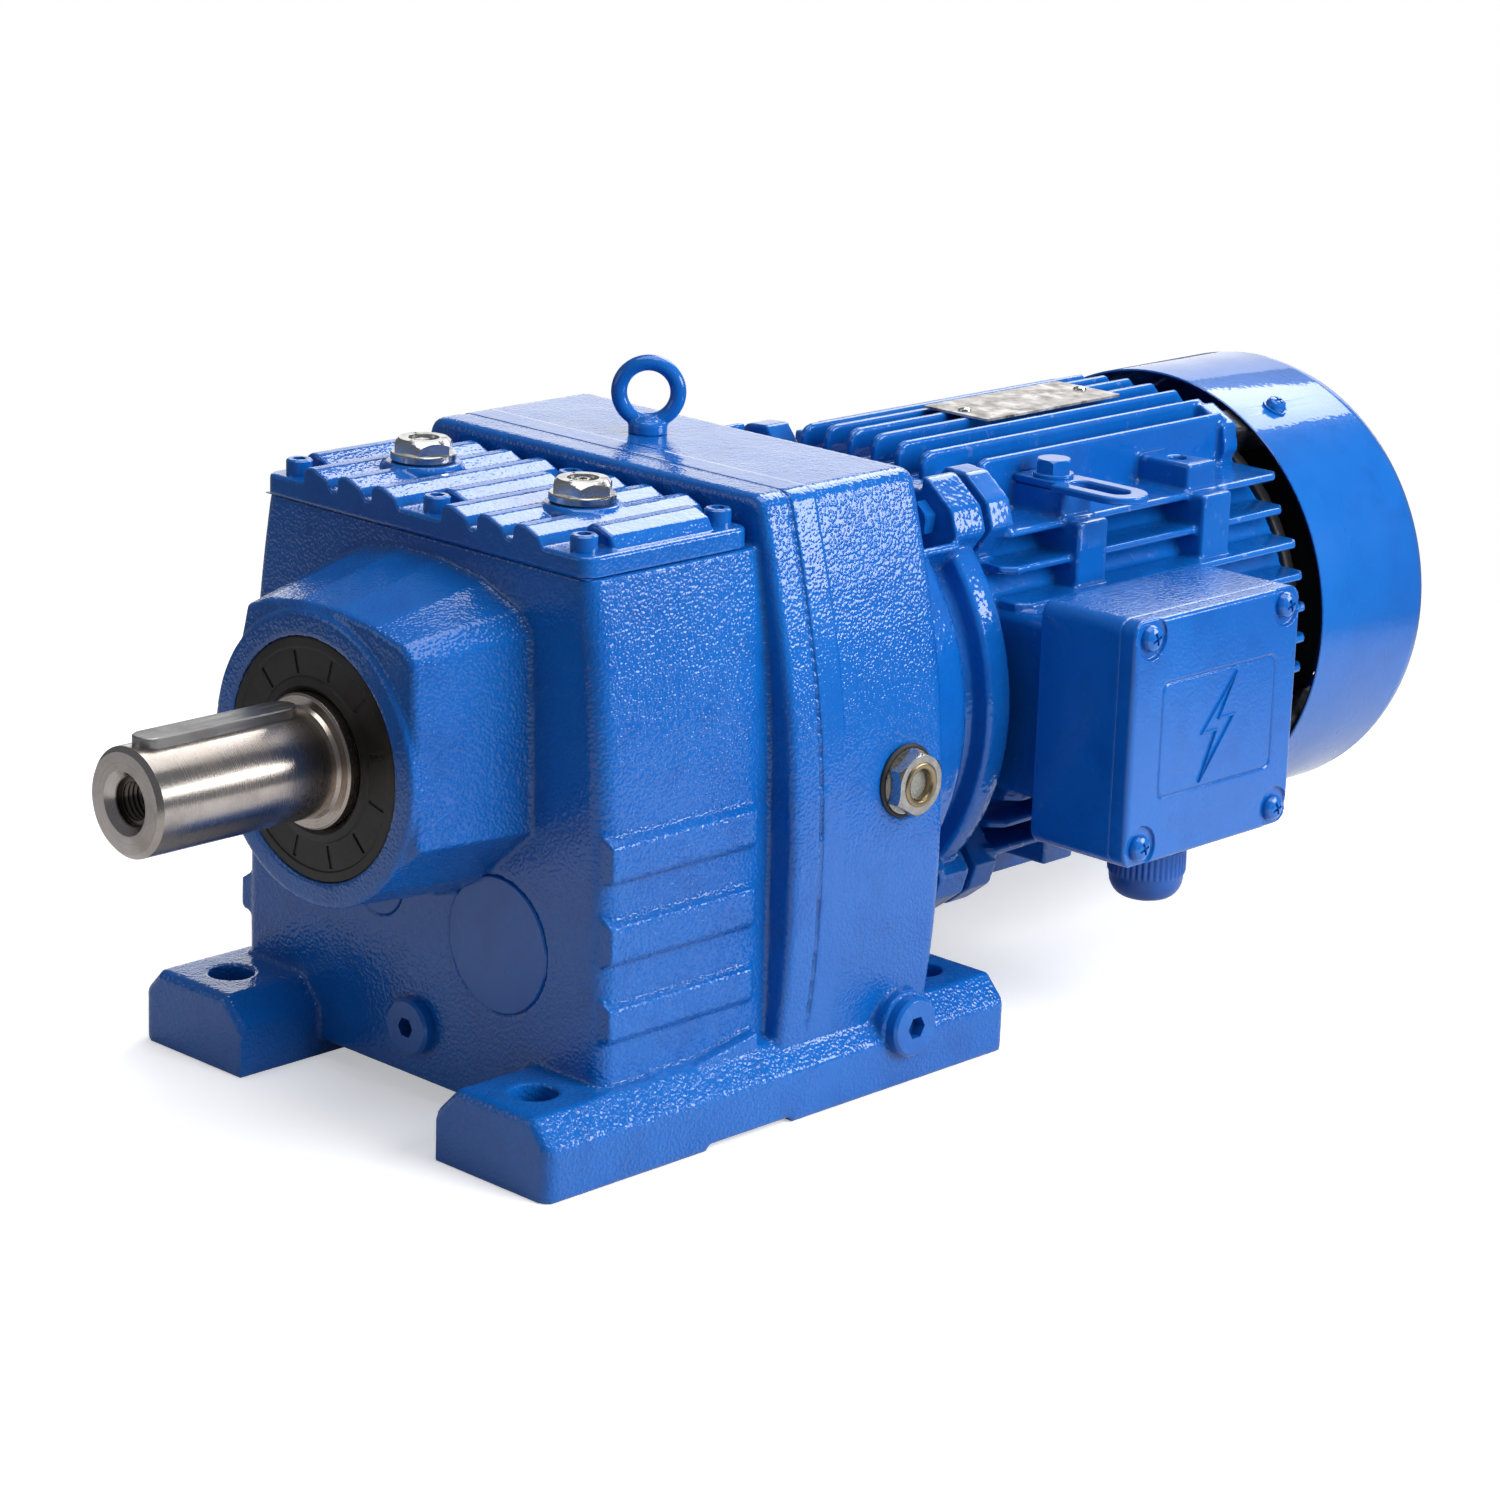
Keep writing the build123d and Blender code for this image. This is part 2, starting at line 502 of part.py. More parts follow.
save(group(i1 + i2), "motor_bearing_inners")

# ------------------------------------------------------------------ output shaft group
c = 1.8
shaft = rev([(0, Y_END), (20 - c, Y_END), (20, Y_END + c), (20, Y_SHOULDER - 1.5), (20.8, Y_SHOULDER), (24.2, Y_SHOULDER), (25, Y_SHOULDER + 0.8), (25, -100.4),
             (29, -100.4), (29, -56), (27.5, -56), (27.5, -10), (24, -10), (24, WALL_A - 1.5), (20, WALL_A - 1.0), (20, WALL_B + 1.0), (19, WALL_B + 2), (0, WALL_B + 2)], 0, H_OUT)
# centre thread: chamfered mouth, core with thread rings
shaft -= cyl(0, H_OUT, 7.0, Y_END - 1, Y_END + 36)
shaft -= rev([(0, Y_END - 0.01), (11.6, Y_END - 0.01), (8.6, Y_END + 3.2), (8.6, Y_END + 4.6), (0, Y_END + 4.6)], 0, H_OUT)
for k in range(9):
    yy = Y_END + 6.0 + 2.0 * k
    shaft -= rev([(6.5, yy - 0.85), (7.0, yy - 0.85), (8.0, yy), (7.0, yy + 0.85), (6.5, yy + 0.85)], 0, H_OUT)


def parallel_key(w, h, l, yc, zc_bottom, x, ax_z, angle):
    """Round-ended parallel key lying along Y, bottom at a height above the axis, swung by angle about the axis."""
    k = Pos(x, yc, ax_z + zc_bottom + h / 2) * (Box(w, l - w, h) + Pos(0, (l - w) / 2, 0) * Cylinder(w / 2, h) + Pos(0, -(l - w) / 2, 0) * Cylinder(w / 2, h))
    return k


KEY_Y = (Y_END + Y_SHOULDER) / 2
key_slot = parallel_key(12.02, 8, 70.02, KEY_Y, 15.0, 0, H_OUT, 0)
shaft -= key_slot
key = parallel_key(12, 8, 70, KEY_Y, 15.0, 0, H_OUT, 0)
key = cha(key, at_z(key, H_OUT + 23), 0.5)
save(key, "output_key")
gk_slot = parallel_key(16.02, 10, 38.02, (G2_Y0 + G2_Y1) / 2, 21.5, 0, H_OUT, 0)
gear_key = parallel_key(16, 10, 38, (G2_Y0 + G2_Y1) / 2, 21.5, 0, H_OUT, 0)
shaft -= gk_slot
save(shaft, "output_shaft")
save(gear_key, "output_gear_key")

g = prism(gear_outline(Z2G, M2, 0.8, 1.15, 0.16, ANG_INT_FROM_OUT + 180.0 / Z2G, 0, H_OUT), G2_Y0, G2_Y1)
for y0, y1 in ((G2_Y0 - 1, G2_Y0 + 11), (G2_Y1 - 11, G2_Y1 + 1)):
    g -= rev([(38, y0), (56, y0), (56, y1), (38, y1)], 0, H_OUT)
g -= cyl(0, H_OUT, 27.5 + GAP, G2_Y0 - 1, G2_Y1 + 1)
g -= box(-8.01, 8.01, G2_Y0 - 1, G2_Y1 + 1, H_OUT + 20, H_OUT + 31.8)
save(g, "output_gear")

# ------------------------------------------------------------------ intermediate shaft group
p = prism(gear_outline(Z2P, M2, 0.8, 1.15, 0.16, ANG_OUT_FROM_INT, X_INT, Z_INT), P2_Y0, P2_Y1)
ishaft = rev([(0, -77.2), (11.5, -77.2), (12.5, -76.2), (12.5, -61.0), (14.2, -61.0), (14.2, WALL_A), (12.5, WALL_A), (12.5, G1_Y0 - 8), (16.5, G1_Y0 - 8), (16.5, G1_Y0),
              (14, G1_Y0), (14, G1_Y1), (13, G1_Y1 + 1), (0, G1_Y1 + 1)], X_INT, Z_INT)
ishaft += p
KY = (G1_Y0 + G1_Y1) / 2
slot = parallel_key(8.02, 7, 20.02, KY, 10.0, X_INT, Z_INT, 0)
ikey = parallel_key(8, 7, 20, KY, 10.0, X_INT, Z_INT, 0)
ishaft -= slot
save(ishaft, "intermediate_shaft")
save(ikey, "intermediate_gear_key")
g = prism(gear_outline(Z1G, M1, 0.9, 1.2, 0.14, ANG_MOT_FROM_INT + 180.0 / Z1G, X_INT, Z_INT), G1_Y0, G1_Y1)
for y0, y1 in ((G1_Y0 - 1, G1_Y0 + 6), (G1_Y1 - 6, G1_Y1 + 1)):
    g -= rev([(24, y0), (47, y0), (47, y1), (24, y1)], X_INT, Z_INT)
for k in range(6):
    a = radians(60 * k + 30)
    g -= cyl(X_INT + 35.5 * cos(a), Z_INT + 35.5 * sin(a), 6.5, G1_Y0 - 1, G1_Y1 + 1)
g -= cyl(X_INT, Z_INT, 14 + GAP, G1_Y0 - 1, G1_Y1 + 1)
g -= box(X_INT - 4.01, X_INT + 4.01, G1_Y0 - 1, G1_Y1 + 1, Z_INT + 12, Z_INT + 17.3)
save(g, "intermediate_gear")

# ------------------------------------------------------------------ motor rotor group
ms = rev([(0, 36), (9, 36), (9.5, 36.5), (9.5, 66), (15, 66), (15, MB1_Y + 16.0), (19, MB1_Y + 16.0), (19, 166), (20, 166), (20, 300), (15, 300), (15, MB2_Y), (12.5, MB2_Y), (12.5, MB2_Y + 16), (10, MB2_Y + 16), (10, 378), (9, 379), (0, 379)], 0, Z_MOT)
save(ms, "motor_shaft")
p = prism(gear_outline(Z1P, M1, 0.9, 1.2, 0.14, ANG_INT_FROM_MOT, 0, Z_MOT), P1_Y0, P1_Y1)
p -= cyl(0, Z_MOT, 9.5 + GAP, P1_Y0 - 1, P1_Y1 + 1)
save(p, "input_pinion")
CORE_Y0, CORE_Y1 = 178.0, 288.0
rc = rev([(20 + GAP, CORE_Y0), (48, CORE_Y0), (48, CORE_Y1), (20 + GAP, CORE_Y1)], 0, Z_MOT)
for yr, s in ((CORE_Y0, -1), (CORE_Y1, 1)):
    a, b = sorted((yr, yr + s * 11))
    rc += tube(0, Z_MOT, 46.5, 34, a, b)
    for b_ in spun(box(35.5, 45, min(yr, yr + s * 21), max(yr, yr + s * 21), Z_MOT - 1.3, Z_MOT + 1.3), 10, 0, Z_MOT):
        rc += b_
save(rc, "rotor_core")
# radial fan
hub = rev([(10 + GAP, 352), (17, 352), (17, 358), (78, 361.2), (79, 361.2), (79, 363.4), (17, 361.5), (17, 374), (10 + GAP, 374)], 0, Z_MOT)
blade = prism_x([(353.5, Z_MOT + 18), (361.6, Z_MOT + 18), (362.6, Z_MOT + 76), (383, Z_MOT + 77), (381.5, Z_MOT + 36), (372, Z_MOT + 16.5)], -1.1, 1.1)
fan = hub
for b_ in spun(blade, 8, 0, Z_MOT):
    fan += b_
save(fan, "cooling_fan")

# ------------------------------------------------------------------ motor flange (adapter casting)
fl = rev([(31.0 + 0.0, MB1_Y), (24, MB1_Y), (24, 104), (17.2, 104), (17.2, 96), (30, 96), (30, 90), (60, 90), (60, 78), (79.9, 78), (79.9, Y_NECK0), (99.0, Y_NECK0), (100.5, Y_NECK0 + 1.5), (99.8, 96), (98.5, 106), (96.5, 110), (93.5, Y_NECK1),
          (88, Y_NECK1 + 1.5), (86, 116), (86, 121), (88, Y_FL0), (94.6, Y_FL0), (96.2, Y_FL0 + 1.4), (96.6, 132), (95.4, 137), (92.0, 140.6), (87, Y_FL1), (78, Y_FL1), (78, 150), (75.9, 150), (75.9, Y_FL1 - 8), (40, Y_FL1 - 8), (40, MB1_Y + 18), (31, MB1_Y + 18)], 0, Z_MOT)


def ear_outline(r_out, w, r_in):
    """One ear as a wedge of constant width pointing along +X, then swung."""
    return [(r_in, -w), (r_out - 6, -w), (r_out, -w + 9), (r_out, w - 9), (r_out - 6, w), (r_in, w)]


EARS = [EAR_A, 180 - EAR_A, 180 + EAR_A, 360 - EAR_A]


def swing(shape, ang):
    """Swing a shape built along +X at the motor axis up to ang degrees towards +Z."""
    return Pos(0, 0, Z_MOT) * Rot(0, -ang, 0) * shape


for a in EARS:
    # pocket in the neck that gives room for the bolt head
    pocket = prism([(80, -17), (120, -24), (120, 24), (80, 17)], 93, Y_FL0)
    fl -= swing(pocket, a)
    ear = prism(ear_outline(106.5, 17.5, 78), Y_FL0, Y_FL1)
    ear = fil(ear, along(ear, "y"), 4)
    ear = fil(ear, [e for e in at_y(ear, Y_FL1) if (e @ 0.5).X > 90], 2.0)
    fl += swing(ear, a)
# side webs that tie the neck to the ears, on the low side of the upper ears and the high side of the lower ears
for a, s in ((EAR_A, -1), (180 - EAR_A, 1), (180 + EAR_A, -1), (360 - EAR_A, 1)):
    w = prism([(80, s * 15.0), (98.5, s * 17.0), (98.5, s * 20.5), (80, s * 18.5)] if s > 0 else [(80, -18.5), (98.5, -20.5), (98.5, -17.0), (80, -15.0)], 90, Y_FL0 + 2)
    fl += swing(w, a)
# flat land on top between the two upper ears
fl -= box(-56, 56, Y_NECK0 - 1, Y_FL1 + 1, Z_MOT + 84, Z_MOT + 120)
fl -= cyl(0, Z_MOT, 31, MB1_Y, MB1_Y + 17)
BOLTS = [(EAR_R * cos(radians(a)), Z_MOT + EAR_R * sin(radians(a))) for a in EARS]
for x, z in BOLTS:
    fl -= cyl(x, z, 4.3, Y_FL0 - 2, Y_FL1 + 2)
for x, z in ADP:
    fl -= cyl(x, z, 4.4, Y_NECK0 - 1, 94)
fl = fl - cyl(0, Z_MOT, 17.2, 70, 110)
print("flange solids", len(fl.solids()), fl.is_valid)
save(fl, "motor_flange")
adps = []
for x, z in ADP:
    s = cyl(x, z, 3.97, Y_BLK1 - 6.5, 93.5) + cyl(x, z, 6.5, 93, 100.5)
    s -= prism(hexpts(x, z, 6.0, 0), 97, 102)
    adps.append(s)
save(group(adps), "adapter_screws")
bolts = []
for x, z in BOLTS:
    hd = prism(hexpts(x, z, 13.0, 20), Y_FL0 - 5.5, Y_FL0)
    hd = hd & rev([(0, Y_FL0 - 5.5), (6.4, Y_FL0 - 5.5), (7.5, Y_FL0 - 4.6), (7.5, Y_FL0), (0, Y_FL0)], x, z)
    bolts.append(hd + cyl(x, z, 3.97, Y_FL0 - 0.5, FRAME_Y0 + 11))
save(group(bolts), "flange_bolts")

# ------------------------------------------------------------------ motor frame
fr = cyl(0, Z_MOT, FRAME_R, FRAME_Y0, FRAME_Y1)
TOP_FINS = [(6.4, 94.0, 150, FRAME_Y1), (19.3, 93.2, 150, FRAME_Y1), (32.3, 91.4, 150, FRAME_Y1), (45.0, 87.8, 169, FRAME_Y1 - 2)]
fins = []
for x, h, y0, y1 in TOP_FINS:
    for sx in (1, -1):
        for sz in (1, -1):
            zz0 = 60.0
            f = prism_x([(y0, Z_MOT + sz * zz0), (y1, Z_MOT + sz * zz0), (y1, Z_MOT + sz * (h - 5)), (y1 - 5, Z_MOT + sz * h), (y0 + 4.6, Z_MOT + sz * h), (y0 + 1.3, Z_MOT + sz * (h - 1.4)), (y0, Z_MOT + sz * (h - 4.6))],
                        sx * x - 1.6, sx * x + 1.6)
            f = fil(f, [e for e in f.edges() if abs((e @ 0.5).Z - Z_MOT) > h - 8 and abs((e @ 0.5).X - sx * x) > 1.4], 1.1)
            fins.append(f)
SIDE = [0.0, 13.0, 26.0, 38.8, 51.8]
for k, dz in enumerate(SIDE):
    for sz in ((1,) if dz == 0 else (1, -1)):
        for sx in (1, -1):
            zz = Z_MOT - 0.6 + sz * dz
            xr = sqrt(95.8 ** 2 - (zz - Z_MOT) ** 2) if dz < 50 else 79.5
            y0 = 152.0
            f = prism_z([(sx * 55, y0), (sx * (xr - 5), y0), (sx * xr, y0 + 5), (sx * xr, FRAME_Y1 - 5), (sx * (xr - 4), FRAME_Y1), (sx * 55, FRAME_Y1)], zz - 1.6, zz + 1.6)
            f = fil(f, [e for e in f.edges() if abs((e @ 0.5).X) > xr - 6 and abs((e @ 0.5).Z - zz) > 1.4], 1.1)
            fins.append(f)
# diagonal roots: apron fin just below the top pads, both sides, top and bottom
for sx in (1, -1):
    for sz in (1, -1):
        zz = Z_MOT + sz * 64.8
        f = prism_z([(sx * 45, 150), (sx * 68, 150), (sx * 75, 157), (sx * 75, FRAME_Y1 - 5), (sx * 71, FRAME_Y1), (sx * 45, FRAME_Y1)], zz - 1.6, zz + 1.6)
        f = fil(f, [e for e in f.edges() if abs((e @ 0.5).X) > 66 and abs((e @ 0.5).Z - zz) > 1.4], 1.1)
        fins.append(f)
for f in fins:
    fr += f
# mounting pads on the four diagonals (stepped blocks)
PADS_Y = (189.0, 268.0)
for sx in (1, -1):
    for sz in (1, -1):
        for y0 in PADS_Y:
            pts = [(sx * 40, Z_MOT + sz * 40), (sx * 82.8, Z_MOT + sz * 40), (sx * 82.8, Z_MOT + sz * 66.2), (sx * 73.6, Z_MOT + sz * 66.2), (sx * 73.6, Z_MOT + sz * 77.4), (sx * 46, Z_MOT + sz * 77.4)]
            pad = prism(pts, y0, y0 + 18.2)
            pad = fil(pad, [e for e in pad.edges() if abs((e @ 0.5).X) > 72 or abs((e @ 0.5).Z - Z_MOT) > 76], 1.0)
            fr += pad
# lugs that take the flange bolts, and cowl lugs at the back
for a in EARS:
    lug = prism(ear_outline(106.0, 16.5, 74), FRAME_Y0, FRAME_Y0 + 13)
    lug = fil(lug, along(lug, "y"), 2.0)
    fr += swing(lug, a)
REAR_LUG_A = (62.0, 118.0, 242.0, 298.0)
for a in REAR_LUG_A:
    lug = prism([(72, -11), (88, -11), (96.5, -4.5), (96.5, 11), (72, 11)] if a in (62.0, 242.0) else [(72, -11), (96.5, -11), (96.5, 4.5), (88, 11), (72, 11)], FRAME_Y1 - 9, FRAME_Y1)
    lug = fil(lug, along(lug, "y"), 1.2)
    fr += swing(lug, a)
for x, z in BOLTS:
    fr -= cyl(x, z, 4.0, FRAME_Y0 - 1, FRAME_Y0 + 12)
for sx in (1, -1):
    for sz in (1, -1):
        for y0 in PADS_Y:
            fr -= cylz(sx * 60.3, y0 + 9.1, 4.0, Z_MOT + 60 if sz > 0 else Z_MOT - 78, Z_MOT + 78 if sz > 0 else Z_MOT - 60)
for a in REAR_LUG_A:
    hole = cyl(86, 0, 3.2, FRAME_Y1 - 11, FRAME_Y1 + 3)
    fr -= swing(hole, a)
# terminal box pedestal
TB_X0, TB_Y0, TB_Y1, TB_Z0, TB_Z1 = 107.0, 138.5, 240.0, 79.5, 177.0
ped = box(70, TB_X0, 150, 230, 92, 166) - box(84, TB_X0 + 1, 160, 220, 102, 156)
ped = fil(ped, [e for e in along(ped, "x") if abs((e @ 0.5).Z - 129) > 34], 5)
fr += ped
fr -= rev([(0, FRAME_Y0 - 5), (78.02, FRAME_Y0 - 5), (78.02, 150.5), (FRAME_BORE, 150.5), (FRAME_BORE, FRAME_Y1 + 5), (0, FRAME_Y1 + 5)], 0, Z_MOT)
fr -= box(70, 86, 175, 205, 115, 143)
# nameplate seat pads between the middle top fins
fr += box(-1.2, 1.2, 210, 214, Z_MOT + 80, Z_MOT + 93.4) + box(-1.2, 1.2, 283, 287, Z_MOT + 80, Z_MOT + 93.4)
print("frame solids", len(fr.solids()), fr.is_valid)
fr = max(fr.solids(), key=lambda s: s.volume)
save(fr, "motor_frame")

# ------------------------------------------------------------------ stator
core = tube(0, Z_MOT, FRAME_BORE - GAP, 48.6, CORE_Y0, CORE_Y1)
save(core, "stator_core")
winds = []
for yy, s in ((CORE_Y0, -1), (CORE_Y1, 1)):
    pts = [(52, yy), (68, yy), (69, yy + s * 6), (66, yy + s * 20), (60, yy + s * 24), (53, yy + s * 20), (51, yy + s * 6)]
    winds.append(rev(pts if s > 0 else list(reversed(pts)), 0, Z_MOT))
save(group(winds), "stator_windings")

# ------------------------------------------------------------------ rear end shield
es = rev([(26, MB2_Y), (12.9 + 3, MB2_Y - 0.0), (15.9, MB2_Y - 4), (40, MB2_Y - 6), (72, MB2_Y - 4), (72, 326), (75.95, 326), (75.95, FRAME_Y1), (84, FRAME_Y1), (84, FRAME_Y1 + 6), (76, FRAME_Y1 + 8), (36, FRAME_Y1 + 9), (33, MB2_Y + 17), (26, MB2_Y + 17)], 0, Z_MOT)
es -= cyl(0, Z_MOT, 26, MB2_Y, MB2_Y + 20)
COWL_A = (62.0, 152.0, 242.0, 332.0)          # arms that centre the cowl
SCREW_A = (62.0, 242.0)                       # the two of them that hold its screws
for a in COWL_A:
    arm = prism([(78, -7), (COWL_R - COWL_T - 0.6, -7), (COWL_R - COWL_T - 0.6, 7), (78, 7)], FRAME_Y1, 368)
    arm -= prism([(60, -5), (88, -5), (88, 5), (60, 5)], 345, 369)
    arm = arm & cyl(0, 0, COWL_R - COWL_T - 0.02, 320, 370)
    es += swing(arm, a) - cyl(0, Z_MOT, 80.5, FRAME_Y1 + 9.5, 400)
for a in SCREW_A:
    es -= swing(Pos(88, 361, 0) * Rot(0, 90, 0) * Cylinder(2.5, 20), a)
print("end shield", len(es.solids()), es.is_valid)
save(es, "rear_end_shield")

# ------------------------------------------------------------------ fan cowl
R, T = COWL_R, COWL_T
rr = 14.0
outer = [(R, COWL_Y0)] + [(R - rr + rr * cos(radians(t)), COWL_Y1 - rr + rr * sin(radians(t))) for t in (0, 15, 30, 45, 60, 75, 90)]
inner = [(R - rr + (rr - T) * cos(radians(t)), COWL_Y1 - rr + (rr - T) * sin(radians(t))) for t in (90, 75, 60, 45, 30, 15, 0)] + [(R - T, COWL_Y0)]
cowl = rev(outer + [(0, COWL_Y1), (0, COWL_Y1 - T)] + inner, 0, Z_MOT)
# concentric grille slots with radial bars
for r0, r1, n in ((14, 21, 4), (26, 33, 6), (38, 45, 8), (50, 57, 8), (62, 69, 8)):
    ringcut = tube(0, Z_MOT, r1, r0, COWL_Y1 - T - 1, COWL_Y1 + 1)
    bars = None
    for b_ in spun(box(r0 - 3, r1 + 3, COWL_Y1 - 4, COWL_Y1 + 2, Z_MOT - 2.2, Z_MOT + 2.2), n, 0, Z_MOT, 22.5):
        ringcut -= b_
    cowl -= ringcut
for a in SCREW_A:
    cowl -= swing(Pos(R, 361, 0) * Rot(0, 90, 0) * Cylinder(2.9, 12), a)
print("cowl", len(cowl.solids()), cowl.is_valid)
save(cowl, "fan_cowl")
cs = []
for a in SCREW_A:
    f = make_face(Polyline((0, 0, 0), (5.4, 0, 0), (5.4, 0, 0.9), (4.4, 0, 1.0), (4.4, 0, 2.0), (3.6, 0, 3.6), (2.0, 0, 4.3), (0, 0, 4.4), close=True))
    hd = revolve(f, axis=Axis((0, 0, 0), (0, 0, 1)), revolution_arc=360)
    hd += Pos(0, 0, -5.5) * Cylinder(2.45, 11.2)
    hd -= Pos(0, 0, 3.9) * Box(4.4, 1.0, 1.8) + Pos(0, 0, 3.9) * Box(1.0, 4.4, 1.8)
    cs.append(swing(Pos(COWL_R + 0.02, 361, 0) * Rot(0, 90, 0) * hd, a))
save(group(cs), "cowl_screws")

# ------------------------------------------------------------------ terminal box
SEAM_X, TB_X1 = 147.0, 155.0
tb = box(TB_X0, SEAM_X, TB_Y0, TB_Y1, TB_Z0, TB_Z1)
tb = fil(tb, along(tb, "x"), 6)
tb = fil(tb, at_x(tb, TB_X0), 1.5)
tb -= box(TB_X0 + 4, SEAM_X + 1, TB_Y0 + 5, TB_Y1 - 5, TB_Z0 + 5, TB_Z1 - 5) - (
    box(TB_X0, SEAM_X + 1, TB_Y0, TB_Y0 + 15, TB_Z0, TB_Z0 + 14) + box(TB_X0, SEAM_X + 1, TB_Y1 - 15, TB_Y1, TB_Z0, TB_Z0 + 14)
    + box(TB_X0, SEAM_X + 1, TB_Y0, TB_Y0 + 15, TB_Z1 - 14, TB_Z1) + box(TB_X0, SEAM_X + 1, TB_Y1 - 15, TB_Y1, TB_Z1 - 14, TB_Z1))
tb -= box(TB_X0 - 1, TB_X0 + 6, 170, 210, 112, 146)
GL_X, GL_Y = 126.5, 188.5
tb -= cylz(GL_X, GL_Y, 12.5, TB_Z0 - 1, TB_Z0 + 6)
TBS = [(148.0, 170.0), (231.0, 170.0), (148.0, 87.0), (231.0, 87.0)]
for y, z in TBS:
    tb -= cylx(y, z, 2.5, SEAM_X - 14, SEAM_X + 1)
save(tb, "terminal_box")
tc = box(SEAM_X, TB_X1, TB_Y0, TB_Y1, TB_Z0, TB_Z1)
tc = fil(tc, along(tc, "x"), 6)
tc = fil(tc, at_x(tc, TB_X1), 2.2)
tc -= box(SEAM_X - 1, TB_X1 - 3, TB_Y0 + 16, TB_Y1 - 16, TB_Z0 + 5, TB_Z1 - 5)
for y, z in TBS:
    tc -= cylx(y, z, 8.6, TB_X1 - 1.6, TB_X1 + 2)
    tc -= cylx(y, z, 2.7, SEAM_X - 1, TB_X1 + 2)
# framed panel pressed in the cover: shallow groove line
g_o = box(TB_X1 - 0.6, TB_X1 + 1, 155.5, 226.5, 104.5, 151.5)
g_o = fil(g_o, along(g_o, "x"), 4)
g_i = box(TB_X1 - 1.0, TB_X1 + 1.5, 157.0, 225.0, 106.0, 150.0)
g_i = fil(g_i, along(g_i, "x"), 3)
tc -= (g_o - g_i)
save(tc, "terminal_box_cover")
ts = []
for y, z in TBS:
    hx = TB_X1 - 1.6
    s = rev_x([(0, hx), (5.2, hx), (5.2, hx + 1.2), (4.5, hx + 2.7), (2.9, hx + 3.7), (0, hx + 4.1)], y, z)
    s += cylx(y, z, 2.45, SEAM_X - 12, hx + 0.5)
    s -= Pos(hx + 3.6, y, z) * Rot(20, 0, 0) * (Box(2.4, 5.2, 1.1) + Box(2.4, 1.1, 5.2))
    ts.append(s)
save(group(ts), "terminal_box_screws")
blk_ = box(TB_X0 + 4, TB_X0 + 16, 168, 212, 150, 165)
for k in range(3):
    y = 176 + 14 * k
    blk_ += cylx(y, 157.5, 3.4, TB_X0 + 15, TB_X0 + 24)
    blk_ += prism_x(hexpts_yz(y, 157.5, 7.0, 30), TB_X0 + 15, TB_X0 + 19)
    if k < 2:
        blk_ -= box(TB_X0 + 12, TB_X0 + 17, y + 6, y + 8, 149, 166)
save(blk_, "terminal_block")

# ------------------------------------------------------------------ cable gland
gb = cylz(GL_X, GL_Y, 12.46, TB_Z0 - 2, TB_Z0 + 10)
hx = prism_z(hexpts(GL_X, GL_Y, 30, 10), TB_Z0 - 5.5, TB_Z0)
hx = hx & cylz(GL_X, GL_Y, 16.6, TB_Z0 - 6, TB_Z0 + 1)
gb += hx + cylz(GL_X, GL_Y, 11.6, TB_Z0 - 18, TB_Z0 - 2)
gb += prism_z(hexpts(GL_X, GL_Y, 26, 10), TB_Z0 + 5.1, TB_Z0 + 9.6)
gb -= cylz(GL_X, GL_Y, 9.0, TB_Z0 - 30, TB_Z0 + 12)
save(gb, "gland_body")
zt = TB_Z0 - 5.6
gn = rev_z([(0, zt), (15.6, zt), (15.6, zt - 10.8), (14.7, zt - 12.3), (14.5, zt - 15.0), (12.9, zt - 18.8), (10.2, zt - 21.0), (0, zt - 21.0)], GL_X, GL_Y)
gn -= cylz(GL_X, GL_Y, 11.65, TB_Z0 - 18.2, TB_Z0)
gn -= cylz(GL_X, GL_Y, 8.0, zt - 30, zt + 1)
cut = None
for k in range(48):
    a = 7.5 * k
    gn -= Pos(GL_X, GL_Y, zt - 5.4) * Rot(0, 0, a) * Pos(15.75, 0, 0) * Box(0.9, 0.8, 8.8)
save(gn, "gland_nut")

# ------------------------------------------------------------------ nameplate, lifting lug
ZN = Z_MOT + 94.0
npz = box(-17.5, 17.5, 206, 291, ZN + 0.02, ZN + 1.02)
npz = fil(npz, along(npz, "z"), 1.5)
RIV = [(0.0, 212.0), (0.0, 285.0)]
for x, y in RIV:
    npz -= cylz(x, y, 1.65, ZN - 1, ZN + 3)
save(npz, "nameplate")
save(group([rev_z([(0, ZN - 0.5), (1.6, ZN - 0.5), (1.6, ZN + 1.03), (2.9, ZN + 1.03), (2.6, ZN + 1.9), (1.2, ZN + 2.4), (0, ZN + 2.4)], x, y) for x, y in RIV]), "nameplate_rivets")

ZL = Z_MOT + 77.4
LX, LY = 60.3, 198.1
pl = box(47.2, 70, LY - 9.5, LY + 9.5, ZL, ZL + 3)
lp = Pos(82.75, LY - 1.5, ZL + 1.5) * (Box(25.5, 23, 3) + Pos(12.75, 0, 0) * Cylinder(11.5, 3))
lp -= Pos(85.7, LY - 1.5, ZL + 1.5) * (Box(18.5, 9.6, 6) + Pos(9.25, 0, 0) * Cylinder(4.8, 6) + Pos(-9.25, 0, 0) * Cylinder(4.8, 6))
lug = pl + lp
lug = fil(lug, [e for e in along(lug, "z") if (e @ 0.5).X < 48], 2.0)
lug -= cylz(LX, LY, 4.2, ZL - 1, ZL + 4)
lug = fil(lug, [e for e in at_z(lug, ZL + 3) if (e @ 0.5).X > 71], 0.9)
save(lug, "lifting_lug")
save(rev_z([(4.1, ZL + 3), (8.2, ZL + 3), (8.2, ZL + 4.3), (7.9, ZL + 4.6), (4.1, ZL + 4.6)], LX, LY), "lug_washer")
hb = prism_z(hexpts(LX, LY, 13.0, 8), ZL + 4.6, ZL + 10.2)
